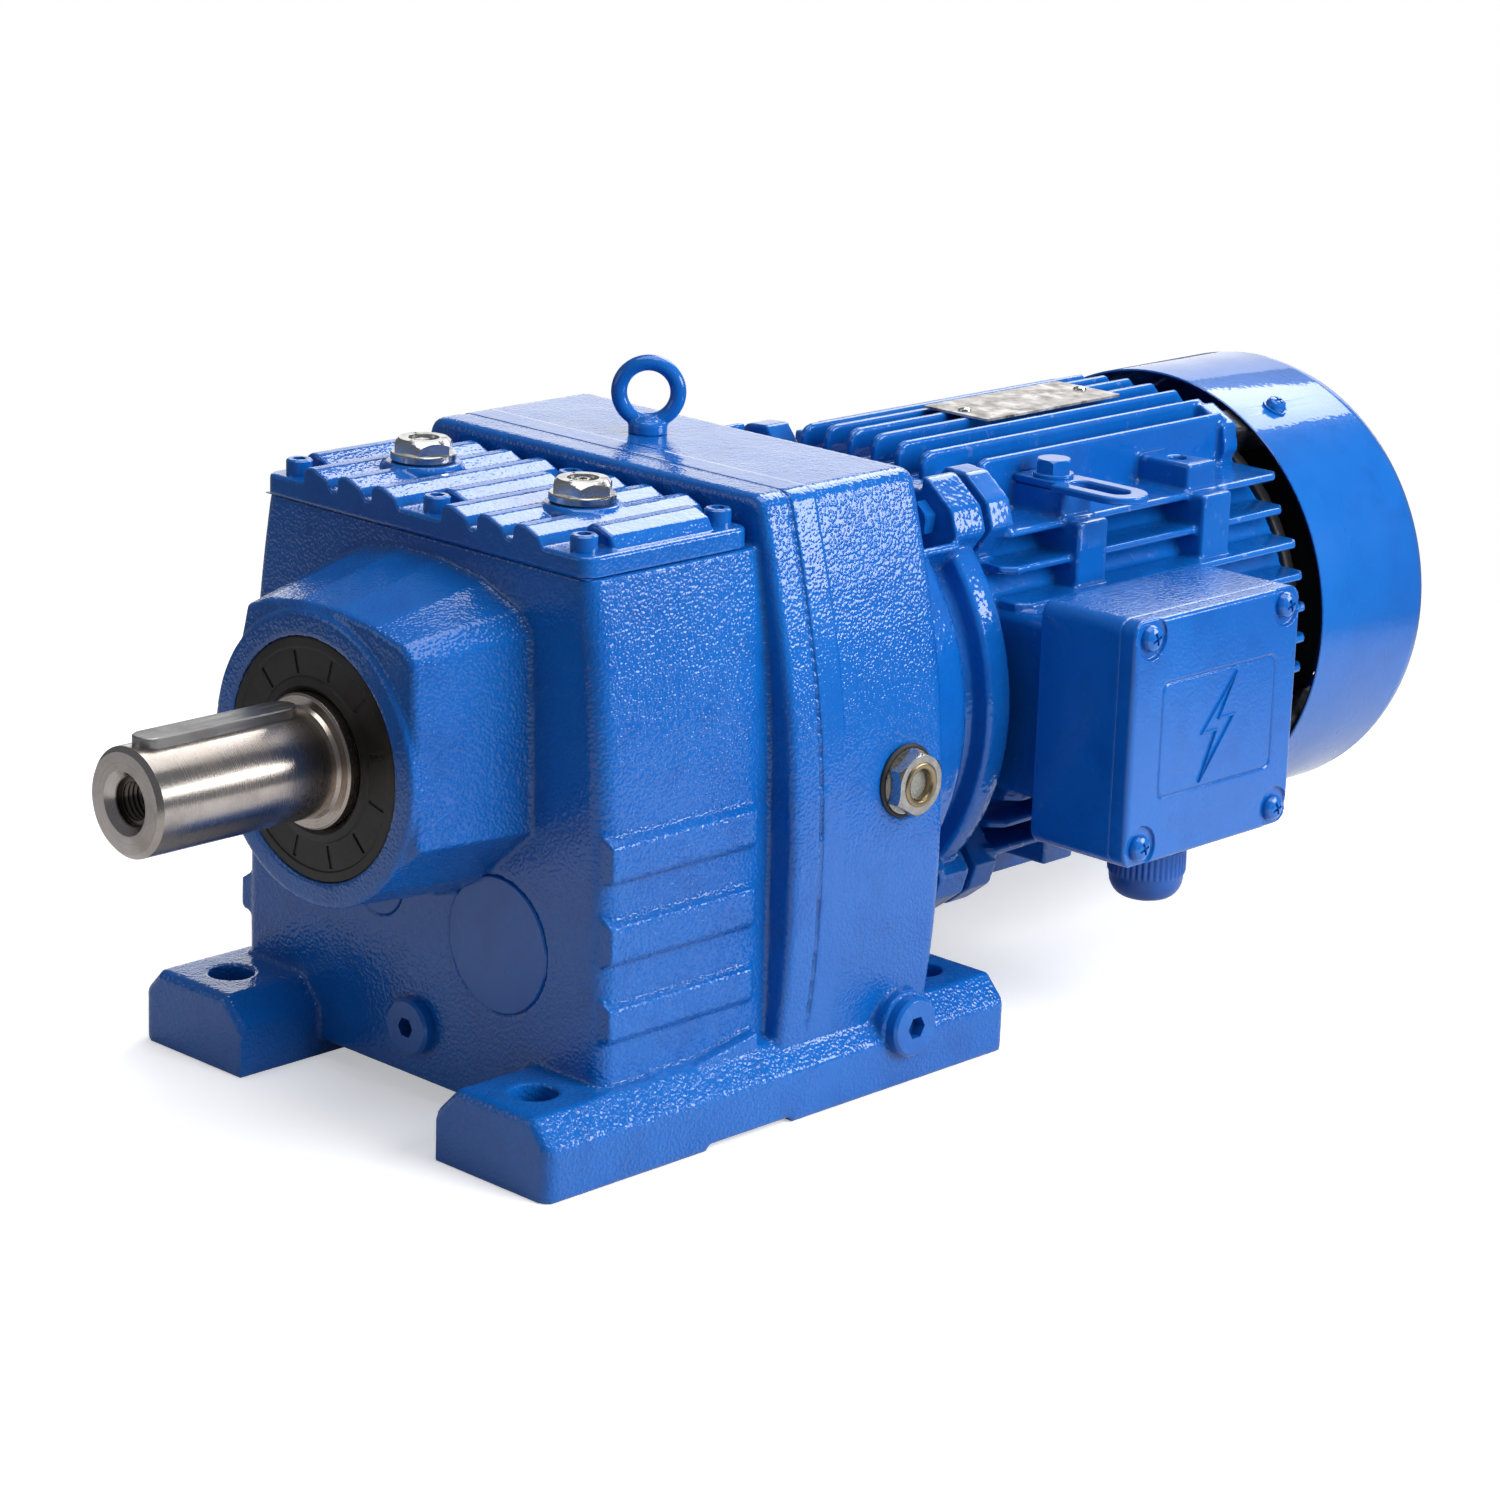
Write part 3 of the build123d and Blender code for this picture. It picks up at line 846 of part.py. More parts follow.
hb = hb & rev_z([(0, ZL + 4.6), (7.5, ZL + 4.6), (7.5, ZL + 9.2), (6.4, ZL + 10.2), (0, ZL + 10.2)], LX, LY)
hb += cylz(LX, LY, 3.97, ZL - 14, ZL + 5)
save(hb, "lug_bolt")
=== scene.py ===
import json
import bpy
import bmesh
from math import radians, degrees, sin, cos, pi, sqrt, atan2
from mathutils import Vector, Matrix, noise


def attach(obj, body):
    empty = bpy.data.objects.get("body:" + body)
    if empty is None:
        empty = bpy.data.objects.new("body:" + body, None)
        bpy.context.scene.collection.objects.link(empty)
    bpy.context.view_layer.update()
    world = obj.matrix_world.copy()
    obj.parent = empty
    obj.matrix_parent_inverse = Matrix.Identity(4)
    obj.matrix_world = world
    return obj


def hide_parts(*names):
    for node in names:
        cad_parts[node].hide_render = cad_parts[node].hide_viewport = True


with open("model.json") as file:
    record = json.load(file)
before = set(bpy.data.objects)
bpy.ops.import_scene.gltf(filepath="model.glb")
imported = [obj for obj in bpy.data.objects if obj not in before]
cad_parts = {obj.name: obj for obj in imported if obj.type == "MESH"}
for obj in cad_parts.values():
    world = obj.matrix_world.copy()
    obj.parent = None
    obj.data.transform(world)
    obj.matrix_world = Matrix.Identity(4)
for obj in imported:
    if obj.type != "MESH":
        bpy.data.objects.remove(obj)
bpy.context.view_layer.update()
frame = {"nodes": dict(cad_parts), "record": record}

scene = bpy.context.scene
NODES = frame["nodes"]
MM = 0.001

BODY = {}
for b, names in frame["record"]["behaviour"]["bodies"].items():
    for n in names:
        BODY[n] = b


# ---------------------------------------------------------------- materials
class Mat:
    """A small helper that strings shader nodes together."""

    def __init__(self, name):
        self.m = bpy.data.materials.new(name)
        self.m.use_nodes = True
        self.t = self.m.node_tree
        self.t.nodes.clear()
        self.out = self.t.nodes.new("ShaderNodeOutputMaterial")
        self.p = self.t.nodes.new("ShaderNodeBsdfPrincipled")
        self.t.links.new(self.p.outputs[0], self.out.inputs[0])
        self.tc = self.t.nodes.new("ShaderNodeTexCoord")
        self.pos = self.tc.outputs["Object"]

    def new(self, kind, **kw):
        n = self.t.nodes.new(kind)
        for k, v in kw.items():
            if k in n.inputs.keys():
                n.inputs[k].default_value = v
            else:
                setattr(n, k, v)
        return n

    def link(self, a, b):
        self.t.links.new(a, b)

    def noise(self, scale, detail=2.0, rough=0.5, vec=None, distort=0.0):
        n = self.new("ShaderNodeTexNoise")
        n.inputs["Scale"].default_value = scale
        n.inputs["Detail"].default_value = detail
        n.inputs["Roughness"].default_value = rough
        n.inputs["Distortion"].default_value = distort
        self.link(vec or self.pos, n.inputs["Vector"])
        return n.outputs["Fac"]

    def voronoi(self, scale, smooth=0.6, vec=None, feature="SMOOTH_F1"):
        n = self.new("ShaderNodeTexVoronoi", feature=feature)
        n.inputs["Scale"].default_value = scale
        if "Smoothness" in n.inputs.keys() and feature == "SMOOTH_F1":
            n.inputs["Smoothness"].default_value = smooth
        self.link(vec or self.pos, n.inputs["Vector"])
        return n.outputs["Distance"]

    def ramp(self, fac, stops, interp="LINEAR"):
        n = self.new("ShaderNodeValToRGB")
        n.color_ramp.interpolation = interp
        e = n.color_ramp.elements
        while len(e) < len(stops):
            e.new(0.5)
        for el, (p, c) in zip(e, stops):
            el.position = p
            el.color = (c, c, c, 1) if isinstance(c, (int, float)) else (*c, 1)
        self.link(fac, n.inputs["Fac"])
        return n.outputs["Color"]

    def math(self, op, a, b=None, clamp=False):
        n = self.new("ShaderNodeMath", operation=op)
        n.use_clamp = clamp
        for i, v in enumerate((a, b)):
            if v is None:
                continue
            if isinstance(v, (int, float)):
                n.inputs[i].default_value = v
            else:
                self.link(v, n.inputs[i])
        return n.outputs[0]

    def mix(self, fac, a, b):
        n = self.new("ShaderNodeMix", data_type="RGBA")
        for sock, v in ((n.inputs[0], fac), (n.inputs[6], a), (n.inputs[7], b)):
            if isinstance(v, (int, float)):
                sock.default_value = v
            elif isinstance(v, tuple):
                sock.default_value = (*v, 1) if len(v) == 3 else v
            else:
                self.link(v, sock)
        return n.outputs[2]

    def maprange(self, v, a, b, c, d, smooth=True):
        n = self.new("ShaderNodeMapRange")
        if smooth:
            n.interpolation_type = "SMOOTHSTEP"
        n.inputs[1].default_value, n.inputs[2].default_value = a, b
        n.inputs[3].default_value, n.inputs[4].default_value = c, d
        self.link(v, n.inputs[0])
        return n.outputs[0]

    def bump(self, height, strength=1.0, dist=0.001, after=None):
        n = self.new("ShaderNodeBump")
        n.inputs["Strength"].default_value = strength
        n.inputs["Distance"].default_value = dist
        self.link(height, n.inputs["Height"])
        if after is not None:
            self.link(after, n.inputs["Normal"])
        return n.outputs["Normal"]

    def sep(self):
        n = self.new("ShaderNodeSeparateXYZ")
        self.link(self.pos, n.inputs[0])
        return n.outputs

    def scaled(self, sx, sy, sz):
        n = self.new("ShaderNodeMapping")
        n.inputs["Scale"].default_value = (sx, sy, sz)
        self.link(self.pos, n.inputs["Vector"])
        return n.outputs[0]

    def set(self, **kw):
        names = {"color": "Base Color", "rough": "Roughness", "metal": "Metallic", "coat": "Coat Weight", "coat_rough": "Coat Roughness",
                 "spec": "Specular IOR Level", "ior": "IOR", "trans": "Transmission Weight", "normal": "Normal", "coat_normal": "Coat Normal",
                 "aniso": "Anisotropic", "sheen": "Sheen Weight"}
        for k, v in kw.items():
            s = self.p.inputs[names[k]]
            if isinstance(v, (int, float)):
                s.default_value = v
            elif isinstance(v, tuple):
                s.default_value = (*v, 1) if len(v) == 3 else v
            else:
                self.link(v, s)
        return self


BLUE = (0.0030, 0.098, 0.405)
BLUE_D = (0.0020, 0.068, 0.315)
BLUE_L = (0.0045, 0.118, 0.455)


def enamel(name, peel=1.0, wave=1.0, rough=0.16, peel_scale=300.0, zones=False, edge_glint=0.0, upper_peel=0.38):
    """Blue enamel sprayed over cast metal: peel is the pebbled texture, wave the slow unevenness."""
    m = Mat(name)
    big = m.noise(14, 3)
    mid = m.noise(60, 2)
    col = m.mix(m.ramp(big, [(0.35, 0.0), (0.68, 1.0)]), BLUE, BLUE_L)
    col = m.mix(m.ramp(mid, [(0.30, 0.35), (0.5, 0.0)]), col, BLUE_D)
    # painted shade darkens the corners and a painted highlight lightens the sharp edges
    geo = m.new("ShaderNodeNewGeometry")
    pt = geo.outputs["Pointiness"]
    hollow_shade = m.ramp(pt, [(0.42, 1.0), (0.495, 0.0)])
    col = m.mix(m.math("MULTIPLY", hollow_shade, 0.6), col, (0.001, 0.022, 0.12))
    # painted highlight: the sharp edges are lightened towards a brighter blue
    edge = m.ramp(pt, [(0.515, 0.0), (0.60, 1.0)])
    col = m.mix(m.math("MULTIPLY", edge, 0.28), col, (0.012, 0.17, 0.56))
    # dust specks and pinholes in the paint
    speck = m.ramp(m.voronoi(260, feature="F1"), [(0.055, 1.0), (0.085, 0.0)])
    pick = m.ramp(m.noise(90, 1), [(0.60, 0.0), (0.66, 1.0)])
    col = m.mix(m.math("MULTIPLY", m.math("MULTIPLY", speck, pick), 0.55), col, (0.004, 0.05, 0.24))
    # painted reflection: pale lavender flecks on sharp edges stand in for glints of the white studio
    if edge_glint > 0:
        c = m.ramp(m.noise(150, 4, 0.65), [(0.63, 0.0), (0.645, 1.0)])
        edge_glint_mask = m.math("MULTIPLY", c, m.ramp(pt, [(0.50, 0.15), (0.56, 1.0)]))
        col = m.mix(m.math("MULTIPLY", edge_glint_mask, edge_glint, clamp=True), col, (0.60, 0.66, 0.78))
    r = m.maprange(m.noise(35, 3), 0.3, 0.7, rough * 1.1, rough * 1.9)
    # height: pebbles over waves over runs
    peb = m.voronoi(peel_scale, 0.85)
    peb = m.ramp(peb, [(0.0, 1.0), (0.72, 0.0)], "EASE")
    fine = m.noise(peel_scale * 2.2, 2, 0.5)
    soft = m.noise(peel_scale * 0.42, 2, 0.5)
    h = m.math("ADD", m.math("MULTIPLY", peb, 0.9), m.math("MULTIPLY", soft, 0.45))
    h = m.math("ADD", h, m.math("MULTIPLY", fine, 0.12))
    # the skin is flatter on faces that look forwards, where the casting was dressed
    amount = m.ramp(m.noise(9, 2), [(0.35, 0.6), (0.65, 1.0)])
    nn = m.new("ShaderNodeSeparateXYZ")
    m.link(m.tc.outputs["Normal"], nn.inputs[0])
    front = m.maprange(nn.outputs[1], -0.95, -0.4, 0.42, 1.0)
    upper = m.maprange(nn.outputs[2], 0.70, 0.95, 1.0, upper_peel)
    h = m.math("MULTIPLY", m.math("MULTIPLY", m.math("MULTIPLY", h, amount), front), upper)
    if zones:
        # second, fainter step of the split pattern beside the parting groove; the strip between them is smoother
        yy, zz, xx = m.sep()[1], m.sep()[2], m.sep()[0]
        strip = m.math("MULTIPLY", m.maprange(yy, 0.0150, 0.0158, 0.0, 1.0), m.maprange(yy, 0.0270, 0.0282, 1.0, 0.0))
        high = m.maprange(zz, 0.10, 0.17, 0.0, 1.0)
        h = m.math("MULTIPLY", h, m.math("SUBTRACT", 1.0, m.math("MULTIPLY", strip, 0.45)))
        h = m.math("MULTIPLY", h, m.maprange(yy, -0.010, -0.007, 1.4, 1.0))
    n1 = m.bump(m.noise(38, 2), 0.16 * wave, 0.0018)
    if zones:
        step = m.math("MULTIPLY", m.maprange(yy, 0.0268, 0.0282, 1.0, 0.0), high)
        n1 = m.bump(step, 0.9, 0.00045, after=n1)
        # painted shade in the parting groove: a darker line along it, with a matching dip
        line = m.math("SUBTRACT", 1.0, m.maprange(m.math("ABSOLUTE", m.math("SUBTRACT", yy, 0.0146)), 0.0005, 0.0014, 0.0, 1.0))
        line = m.math("MULTIPLY", line, m.maprange(zz, 0.034, 0.040, 0.0, 1.0))
        col = m.mix(m.math("MULTIPLY", line, 0.3), col, (0.001, 0.022, 0.12))
        n1 = m.bump(m.math("SUBTRACT", 1.0, line), 1.0, 0.0004, after=n1)
    n2 = m.bump(h, min(1.0, 0.75 * peel), 0.00062 * max(peel, 0.3), after=n1)
    m.set(color=col, rough=r, normal=n2, coat=0.95, coat_rough=0.03, coat_normal=n2, spec=0.14)
    return m.m


def metal(name, base, dark, rough=0.22, grain=(600, 40, 600), bumpy=0.12, dirt=0.25, metal_v=1.0, scratch=True):
    m = Mat(name)
    g = m.noise(1.0, 3, 0.6, vec=m.scaled(*grain))
    blot = m.noise(70, 4, 0.6)
    col = m.mix(m.ramp(g, [(0.3, 0.0), (0.7, 1.0)]), base, tuple(c * 0.86 for c in base))
    col = m.mix(m.math("MULTIPLY", m.ramp(blot, [(0.5, 0.0), (0.72, 1.0)]), dirt), col, dark)
    geo = m.new("ShaderNodeNewGeometry")
    # painted shade: darker in the hollows
    hollow_shade = m.ramp(geo.outputs["Pointiness"], [(0.40, 1.0), (0.49, 0.0)])
    col = m.mix(m.math("MULTIPLY", hollow_shade, 0.75), col, dark)
    rr = m.math("ADD", m.maprange(g, 0.3, 0.7, rough * 0.8, rough * 1.25), m.maprange(blot, 0.5, 0.75, 0.0, 0.10))
    h = m.math("ADD", m.math("MULTIPLY", g, 0.7), m.math("MULTIPLY", m.noise(900, 2), 0.3))
    m.set(color=col, rough=rr, metal=metal_v, normal=m.bump(h, bumpy, 0.00020))
    return m.m


def turned(name, base, dark, rough, cx, cz, pitch=2600.0, bumpy=0.10, tint=None, bore=None):
    """Turned or ground metal: rings about the Y line at cx, cz, seen as fine lines along Y and round the faces."""
    m = Mat(name)
    o = m.sep()
    dx = m.math("SUBTRACT", o[0], cx)
    dz = m.math("SUBTRACT", o[2], cz)
    rad = m.math("SQRT", m.math("ADD", m.math("MULTIPLY", dx, dx), m.math("MULTIPLY", dz, dz)))
    comb = m.new("ShaderNodeCombineXYZ")
    m.link(m.math("MULTIPLY", rad, pitch), comb.inputs[0])
    m.link(m.math("MULTIPLY", o[1], pitch), comb.inputs[1])
    comb.inputs[2].default_value = 0.0
    lines = m.noise(1.0, 3, 0.55, vec=comb.outputs[0])
    blot = m.noise(45, 4, 0.6)
    col = m.mix(m.ramp(lines, [(0.3, 0.0), (0.7, 1.0)]), base, tuple(c * 0.92 for c in base))
    col = m.mix(m.math("MULTIPLY", m.ramp(blot, [(0.46, 0.0), (0.70, 1.0)]), 0.34), col, dark)
    geo = m.new("ShaderNodeNewGeometry")
    # painted shade: darker in the hollows
    hollow_shade = m.ramp(geo.outputs["Pointiness"], [(0.40, 1.0), (0.49, 0.0)])
    col = m.mix(m.math("MULTIPLY", hollow_shade, 0.8), col, dark)
    if bore is not None:
        # painted shade inside the centre bore at the shaft end
        bore_shade = m.math("MULTIPLY", m.maprange(rad, bore[0] - 0.0006, bore[0], 1.0, 0.0), m.maprange(o[1], bore[1], bore[1] + 0.0012, 0.0, 1.0))
        col = m.mix(m.math("MULTIPLY", bore_shade, 0.85), col, (0.05, 0.035, 0.025))
    if tint is not None:
        # warm film of oil towards the housing end
        w = m.maprange(o[1], tint[0], tint[1], 0.0, 1.0)
        col = m.mix(m.math("MULTIPLY", w, 0.35), col, (0.50, 0.36, 0.25))
    rr = m.math("ADD", m.maprange(lines, 0.3, 0.7, rough * 0.85, rough * 1.15), m.maprange(blot, 0.45, 0.75, 0.0, 0.09))
    m.set(color=col, rough=rr, metal=1.0, normal=m.bump(lines, bumpy, 0.00012))
    return m.m


def rubber(name, base, rough=0.5, grain=500, bumpy=0.3, spec=0.4):
    m = Mat(name)
    a = m.noise(grain, 3)
    b = m.noise(40, 3)
    col = m.mix(m.ramp(b, [(0.4, 0.0), (0.7, 1.0)]), base, tuple(min(1, c * 2.2 + 0.012) for c in base))
    m.set(color=col, rough=m.maprange(b, 0.3, 0.7, rough * 0.8, rough * 1.2), normal=m.bump(a, bumpy, 0.00015), spec=spec)
    return m.m


def plastic(name, base, rough=0.4, grain=700):
    m = Mat(name)
    a = m.noise(grain, 2)
    b = m.noise(55, 3)
    col = m.mix(m.ramp(b, [(0.35, 0.0), (0.7, 1.0)]), base, tuple(c * 0.7 for c in base))
    m.set(color=col, rough=m.maprange(b, 0.3, 0.7, rough * 0.8, rough * 1.25), normal=m.bump(a, 0.2, 0.00012), spec=0.45)
    return m.m


def glass(name):
    m = Mat(name)
    a = m.noise(60, 2)
    m.set(color=(0.62, 0.62, 0.57), rough=0.08, trans=0.7, ior=1.45, normal=m.bump(a, 0.1, 0.0002))
    return m.m


def plate(name):
    """Worn aluminium plate: brushed along its length, dulled and rubbed, with no lettering."""
    m = Mat(name)
    g = m.noise(1.0, 3, 0.6, vec=m.scaled(900, 60, 900))
    blot = m.noise(120, 5, 0.7)
    rub = m.noise(38, 4, 0.65)
    col = m.mix(m.ramp(blot, [(0.38, 0.0), (0.60, 1.0)]), (0.17, 0.145, 0.13), (0.72, 0.69, 0.65))
    col = m.mix(m.math("MULTIPLY", m.ramp(rub, [(0.5, 0.0), (0.64, 1.0)]), 0.7), col, (0.46, 0.43, 0.42))
    m.set(color=col, rough=m.maprange(blot, 0.3, 0.7, 0.28, 0.5), metal=0.75, normal=m.bump(m.math("ADD", g, blot), 0.25, 0.0002))
    return m.m


M = {
    "cast": enamel("enamel_cast", peel=0.76, wave=0.7, rough=0.15, peel_scale=800, zones=True),
    "cast_cover": enamel("enamel_cover", peel=0.55, wave=0.7, rough=0.15, peel_scale=760),
    "cast_flange": enamel("enamel_flange", peel=0.6, wave=0.8, rough=0.15, peel_scale=500),
    # the motor frame also carries painted reflections as pale flecks along its edges
    "frame": enamel("enamel_motor", peel=0.35, wave=0.6, rough=0.18, peel_scale=420, edge_glint=0.2),
    "cowl": enamel("enamel_cowl", peel=0.26, wave=0.35, rough=0.2, peel_scale=520),
    "box": enamel("enamel_box", peel=0.34, wave=0.3, rough=0.19, peel_scale=700, upper_peel=2.4),
    "small": enamel("enamel_small", peel=0.3, wave=0.3, rough=0.17, peel_scale=600),
    "zinc": metal("zinc", (0.72, 0.71, 0.68), (0.26, 0.23, 0.19), rough=0.2, grain=(300, 300, 300), bumpy=0.25, dirt=0.2),
    "nickel": metal("nickel", (0.50, 0.485, 0.46), (0.24, 0.20, 0.16), rough=0.27, grain=(300, 300, 300), bumpy=0.25, dirt=0.25),
    "steel_key": metal("key_steel", (0.42, 0.41, 0.40), (0.15, 0.125, 0.105), rough=0.36, grain=(900, 30, 900), bumpy=0.22, dirt=0.3),
    "shaft": turned("shaft_steel", (0.60, 0.545, 0.50), (0.21, 0.155, 0.11), 0.24, 0.0, 0.140, bumpy=0.05, tint=(-0.20, -0.10), bore=(0.0092, -0.2170)),
    "rotor": turned("rotor_steel", (0.55, 0.54, 0.53), (0.2, 0.18, 0.16), 0.3, 0.0, 0.129),
    "gear": metal("gear_steel", (0.50, 0.49, 0.47), (0.16, 0.13, 0.10), rough=0.28, grain=(400, 400, 400), bumpy=0.2),
    "bearing": metal("bearing_steel", (0.68, 0.68, 0.68), (0.3, 0.28, 0.26), rough=0.14, grain=(250, 1200, 250), bumpy=0.08, dirt=0.1),
    "brass": turned("brass", (0.42, 0.33, 0.20), (0.20, 0.14, 0.07), 0.32, 0.0, 0.121, pitch=1800),
    "seal": rubber("seal_rubber", (0.011, 0.009, 0.0075), rough=0.34, grain=700, bumpy=0.25),
    "rubber": rubber("black_rubber", (0.012, 0.012, 0.012), rough=0.5),
    "black": metal("black_oxide", (0.035, 0.036, 0.04), (0.01, 0.01, 0.01), rough=0.42, grain=(300, 300, 300), bumpy=0.3, metal_v=0.6),
    "plastic": plastic("black_plastic", (0.022, 0.022, 0.024)),
    "gland": plastic("gland_blue", (0.010, 0.085, 0.36), rough=0.32),
    "copper": metal("windings", (0.50, 0.23, 0.11), (0.16, 0.06, 0.02), rough=0.4, grain=(200, 900, 200), bumpy=0.6),
    "glass": glass("glass"),
    "plate": plate("plate_metal"),
}


# ---------------------------------------------------------------- mesh helpers
def link(ob):
    scene.collection.objects.link(ob)
    return ob


def smooth(me, on=True):
    me.polygons.foreach_set("use_smooth", [on] * len(me.polygons))
    me.update()


def make(name, verts, faces, mat, body, replaces=(), smooth_on=True):
    me = bpy.data.meshes.new(name)
    me.from_pydata([tuple(v) for v in verts], [], faces)
    me.validate()
    me.update()
    ob = link(bpy.data.objects.new(name, me))
    me.materials.append(mat)
    if smooth_on:
        smooth(me)
    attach(ob, body)
    if replaces:
        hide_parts(*replaces)
    return ob


def baked(ob):
    """Applies all modifiers of an object by swapping in its evaluated mesh."""
    bpy.context.view_layer.update()
    dg = bpy.context.evaluated_depsgraph_get()
    me = bpy.data.meshes.new_from_object(ob.evaluated_get(dg), depsgraph=dg)
    old = ob.data
    ob.modifiers.clear()
    ob.data = me
    bpy.data.meshes.remove(old)
    return ob


def casting(node, name, voxel, rounds, mat, peel=0.0, peel_size=0.0035, decimate=None):
    """A cast piece: the CAD solid rebuilt as one skin with its corners rolled, then lightly pebbled."""
    src = NODES[node]
    ob = link(bpy.data.objects.new(name, src.data.copy()))
    ob.data.materials.clear()
    r = ob.modifiers.new("skin", "REMESH")
    r.mode = "VOXEL"
    r.voxel_size = voxel * MM
    r.use_smooth_shade = True
    s = ob.modifiers.new("roll", "SMOOTH")
    s.factor = 0.5
    s.iterations = rounds
    baked(ob)
    me = ob.data
    if peel:
        k = 1.0 / peel_size
        no = [v.normal.copy() for v in me.vertices]
        for v, nn in zip(me.vertices, no):
            p = v.co * k
            h = noise.noise(p) + 0.5 * noise.noise(p * 2.1)
            v.co += nn * (h * peel * MM)
    me.materials.clear()
    me.materials.append(mat)
    smooth(me)
    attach(ob, BODY[node])
    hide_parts(node)
    return ob


def crisp(node, mat, bevel=0.35, seg=2, angle=28):
    """A machined CAD node shown as it is, with its edges broken."""
    ob = NODES[node]
    ob.data.materials.clear()
    ob.data.materials.append(mat)
    w = ob.modifiers.new("weld", "WELD")
    w.merge_threshold = 0.00001
    if bevel:
        b = ob.modifiers.new("edge", "BEVEL")
        b.width = bevel * MM
        b.segments = seg
        b.limit_method = "ANGLE"
        b.angle_limit = radians(angle)
        b.use_clamp_overlap = True
        b.harden_normals = False
        b.miter_outer = "MITER_ARC"
    n = ob.modifiers.new("normals", "WEIGHTED_NORMAL")
    n.weight = 60
    n.keep_sharp = True
    smooth(ob.data)
    return ob


# ---------------------------------------------------------------- castings
casting("gear_housing", "gear_housing_skin", 0.92, 2, M["cast"], peel=0.05, peel_size=0.0034)
casting("inspection_cover", "inspection_cover_skin", 0.55, 2, M["cast_cover"], peel=0.035, peel_size=0.0032)
casting("motor_flange", "motor_flange_skin", 0.9, 3, M["cast_flange"], peel=0.06, peel_size=0.0040)
casting("motor_frame", "motor_frame_skin", 0.95, 2, M["frame"], peel=0.04, peel_size=0.006)
casting("terminal_box", "terminal_box_skin", 0.7, 1, M["box"])
casting("terminal_box_cover", "terminal_box_cover_skin", 0.5, 1, M["box"])
casting("lifting_eyebolt", "lifting_eyebolt_skin", 0.45, 8, M["small"])
casting("lifting_lug", "lifting_lug_skin", 0.4, 3, M["small"])
casting("rear_end_shield", "rear_end_shield_skin", 1.2, 3, M["black"])
casting("cooling_fan", "cooling_fan_skin", 0.9, 2, M["plastic"])

# ---------------------------------------------------------------- machined and small pieces
for n, mk, bv in (
    ("output_shaft", "shaft", 0.25), ("output_key", "steel_key", 0.25), ("output_seal", "seal", 0.15),
    ("cover_gasket", "small", 0), ("plug_washers", "rubber", 0.1), ("filler_plug", "zinc", 0.3), ("breather_plug", "zinc", 0.3),
    ("sight_glass_body", "nickel", 0.35), ("sight_glass_ring", "brass", 0.2), ("sight_glass_lens", "glass", 0),
    ("large_bore_cap", "small", 0.3), ("small_bore_cap", "small", 0.3), ("front_drain_plug", "small", 0.5), ("side_drain_plug", "small", 0.5),
    ("cover_screws", "small", 0.3), ("flange_bolts", "small", 0.4), ("adapter_screws", "black", 0.3),
    ("fan_cowl", "cowl", 0), ("cowl_screws", "small", 0.25), ("terminal_box_screws", "small", 0.25),
    ("lug_bolt", "small", 0.4), ("lug_washer", "small", 0.2), ("nameplate", "plate", 0.15), ("nameplate_rivets", "zinc", 0.2),
    ("gland_body", "gland", 0.3), ("terminal_block", "plastic", 0.3),
    ("output_gear", "gear", 0), ("output_gear_key", "steel_key", 0), ("intermediate_shaft", "gear", 0), ("intermediate_gear", "gear", 0),
    ("intermediate_gear_key", "steel_key", 0), ("input_pinion", "gear", 0), ("motor_shaft", "rotor", 0.25), ("rotor_core", "gear", 0),
    ("stator_core", "gear", 0), ("stator_windings", "copper", 0),
    ("output_front_bearing_outer", "bearing", 0), ("output_front_bearing_inner", "bearing", 0), ("output_rear_bearing_outer", "bearing", 0),
    ("output_rear_bearing_inner", "bearing", 0), ("intermediate_bearing_outers", "bearing", 0), ("intermediate_bearing_inners", "bearing", 0),
    ("motor_bearing_outers", "bearing", 0), ("motor_bearing_inners", "bearing", 0),
):
    crisp(n, M[mk], bv)


# ---------------------------------------------------------------- gland nut: ribbed cap with a rolled end
def gland_nut():
    cx, cy = 0.1265, 0.1885
    zt = 0.0739
    n = 240
    ribs = 40
    prof = []                                   # (z below the top, radius, share of rib depth)
    for z, r, k in ((0.0, 11.8, 0), (0.0, 14.4, 0), (0.25, 15.0, 0), (0.7, 15.35, 0), (1.1, 15.4, 0.3), (1.6, 15.55, 1), (4.0, 15.6, 1), (7.0, 15.6, 1), (9.4, 15.6, 1), (10.2, 15.5, 0.8),
                    (10.8, 15.2, 0.3), (11.3, 14.95, 0), (12.0, 14.8, 0), (13.4, 14.7, 0), (15.0, 14.4, 0), (16.8, 13.7, 0), (18.4, 12.7, 0), (19.6, 11.5, 0), (20.4, 10.3, 0), (20.8, 9.4, 0),
                    (20.95, 8.8, 0), (20.9, 8.35, 0), (20.6, 8.1, 0), (20.0, 8.05, 0), (12.7, 8.05, 0), (12.4, 11.7, 0)):
        prof.append((z, r, k))
    vs, fs = [], []
    for z, r, k in prof:
        for i in range(n):
            t = 2 * pi * i / n
            w = 0.5 + 0.5 * cos(ribs * t)
            rr = r - 0.75 * k * (1 - w ** 0.6)
            vs.append((cx + rr * MM * cos(t), cy + rr * MM * sin(t), zt - z * MM))
    m = len(prof)
    for j in range(m):
        for i in range(n):
            a, b = j * n + i, j * n + (i + 1) % n
            c, d = ((j + 1) % m) * n + (i + 1) % n, ((j + 1) % m) * n + i
            fs.append((a, d, c, b))
    ob = make("gland_nut_ribbed", vs, fs, M["gland"], BODY["gland_nut"], ("gland_nut",))
    bm = bmesh.new()
    bm.from_mesh(ob.data)
    bmesh.ops.recalc_face_normals(bm, faces=bm.faces)
    bm.to_mesh(ob.data)
    bm.free()
    return ob


gland_nut()
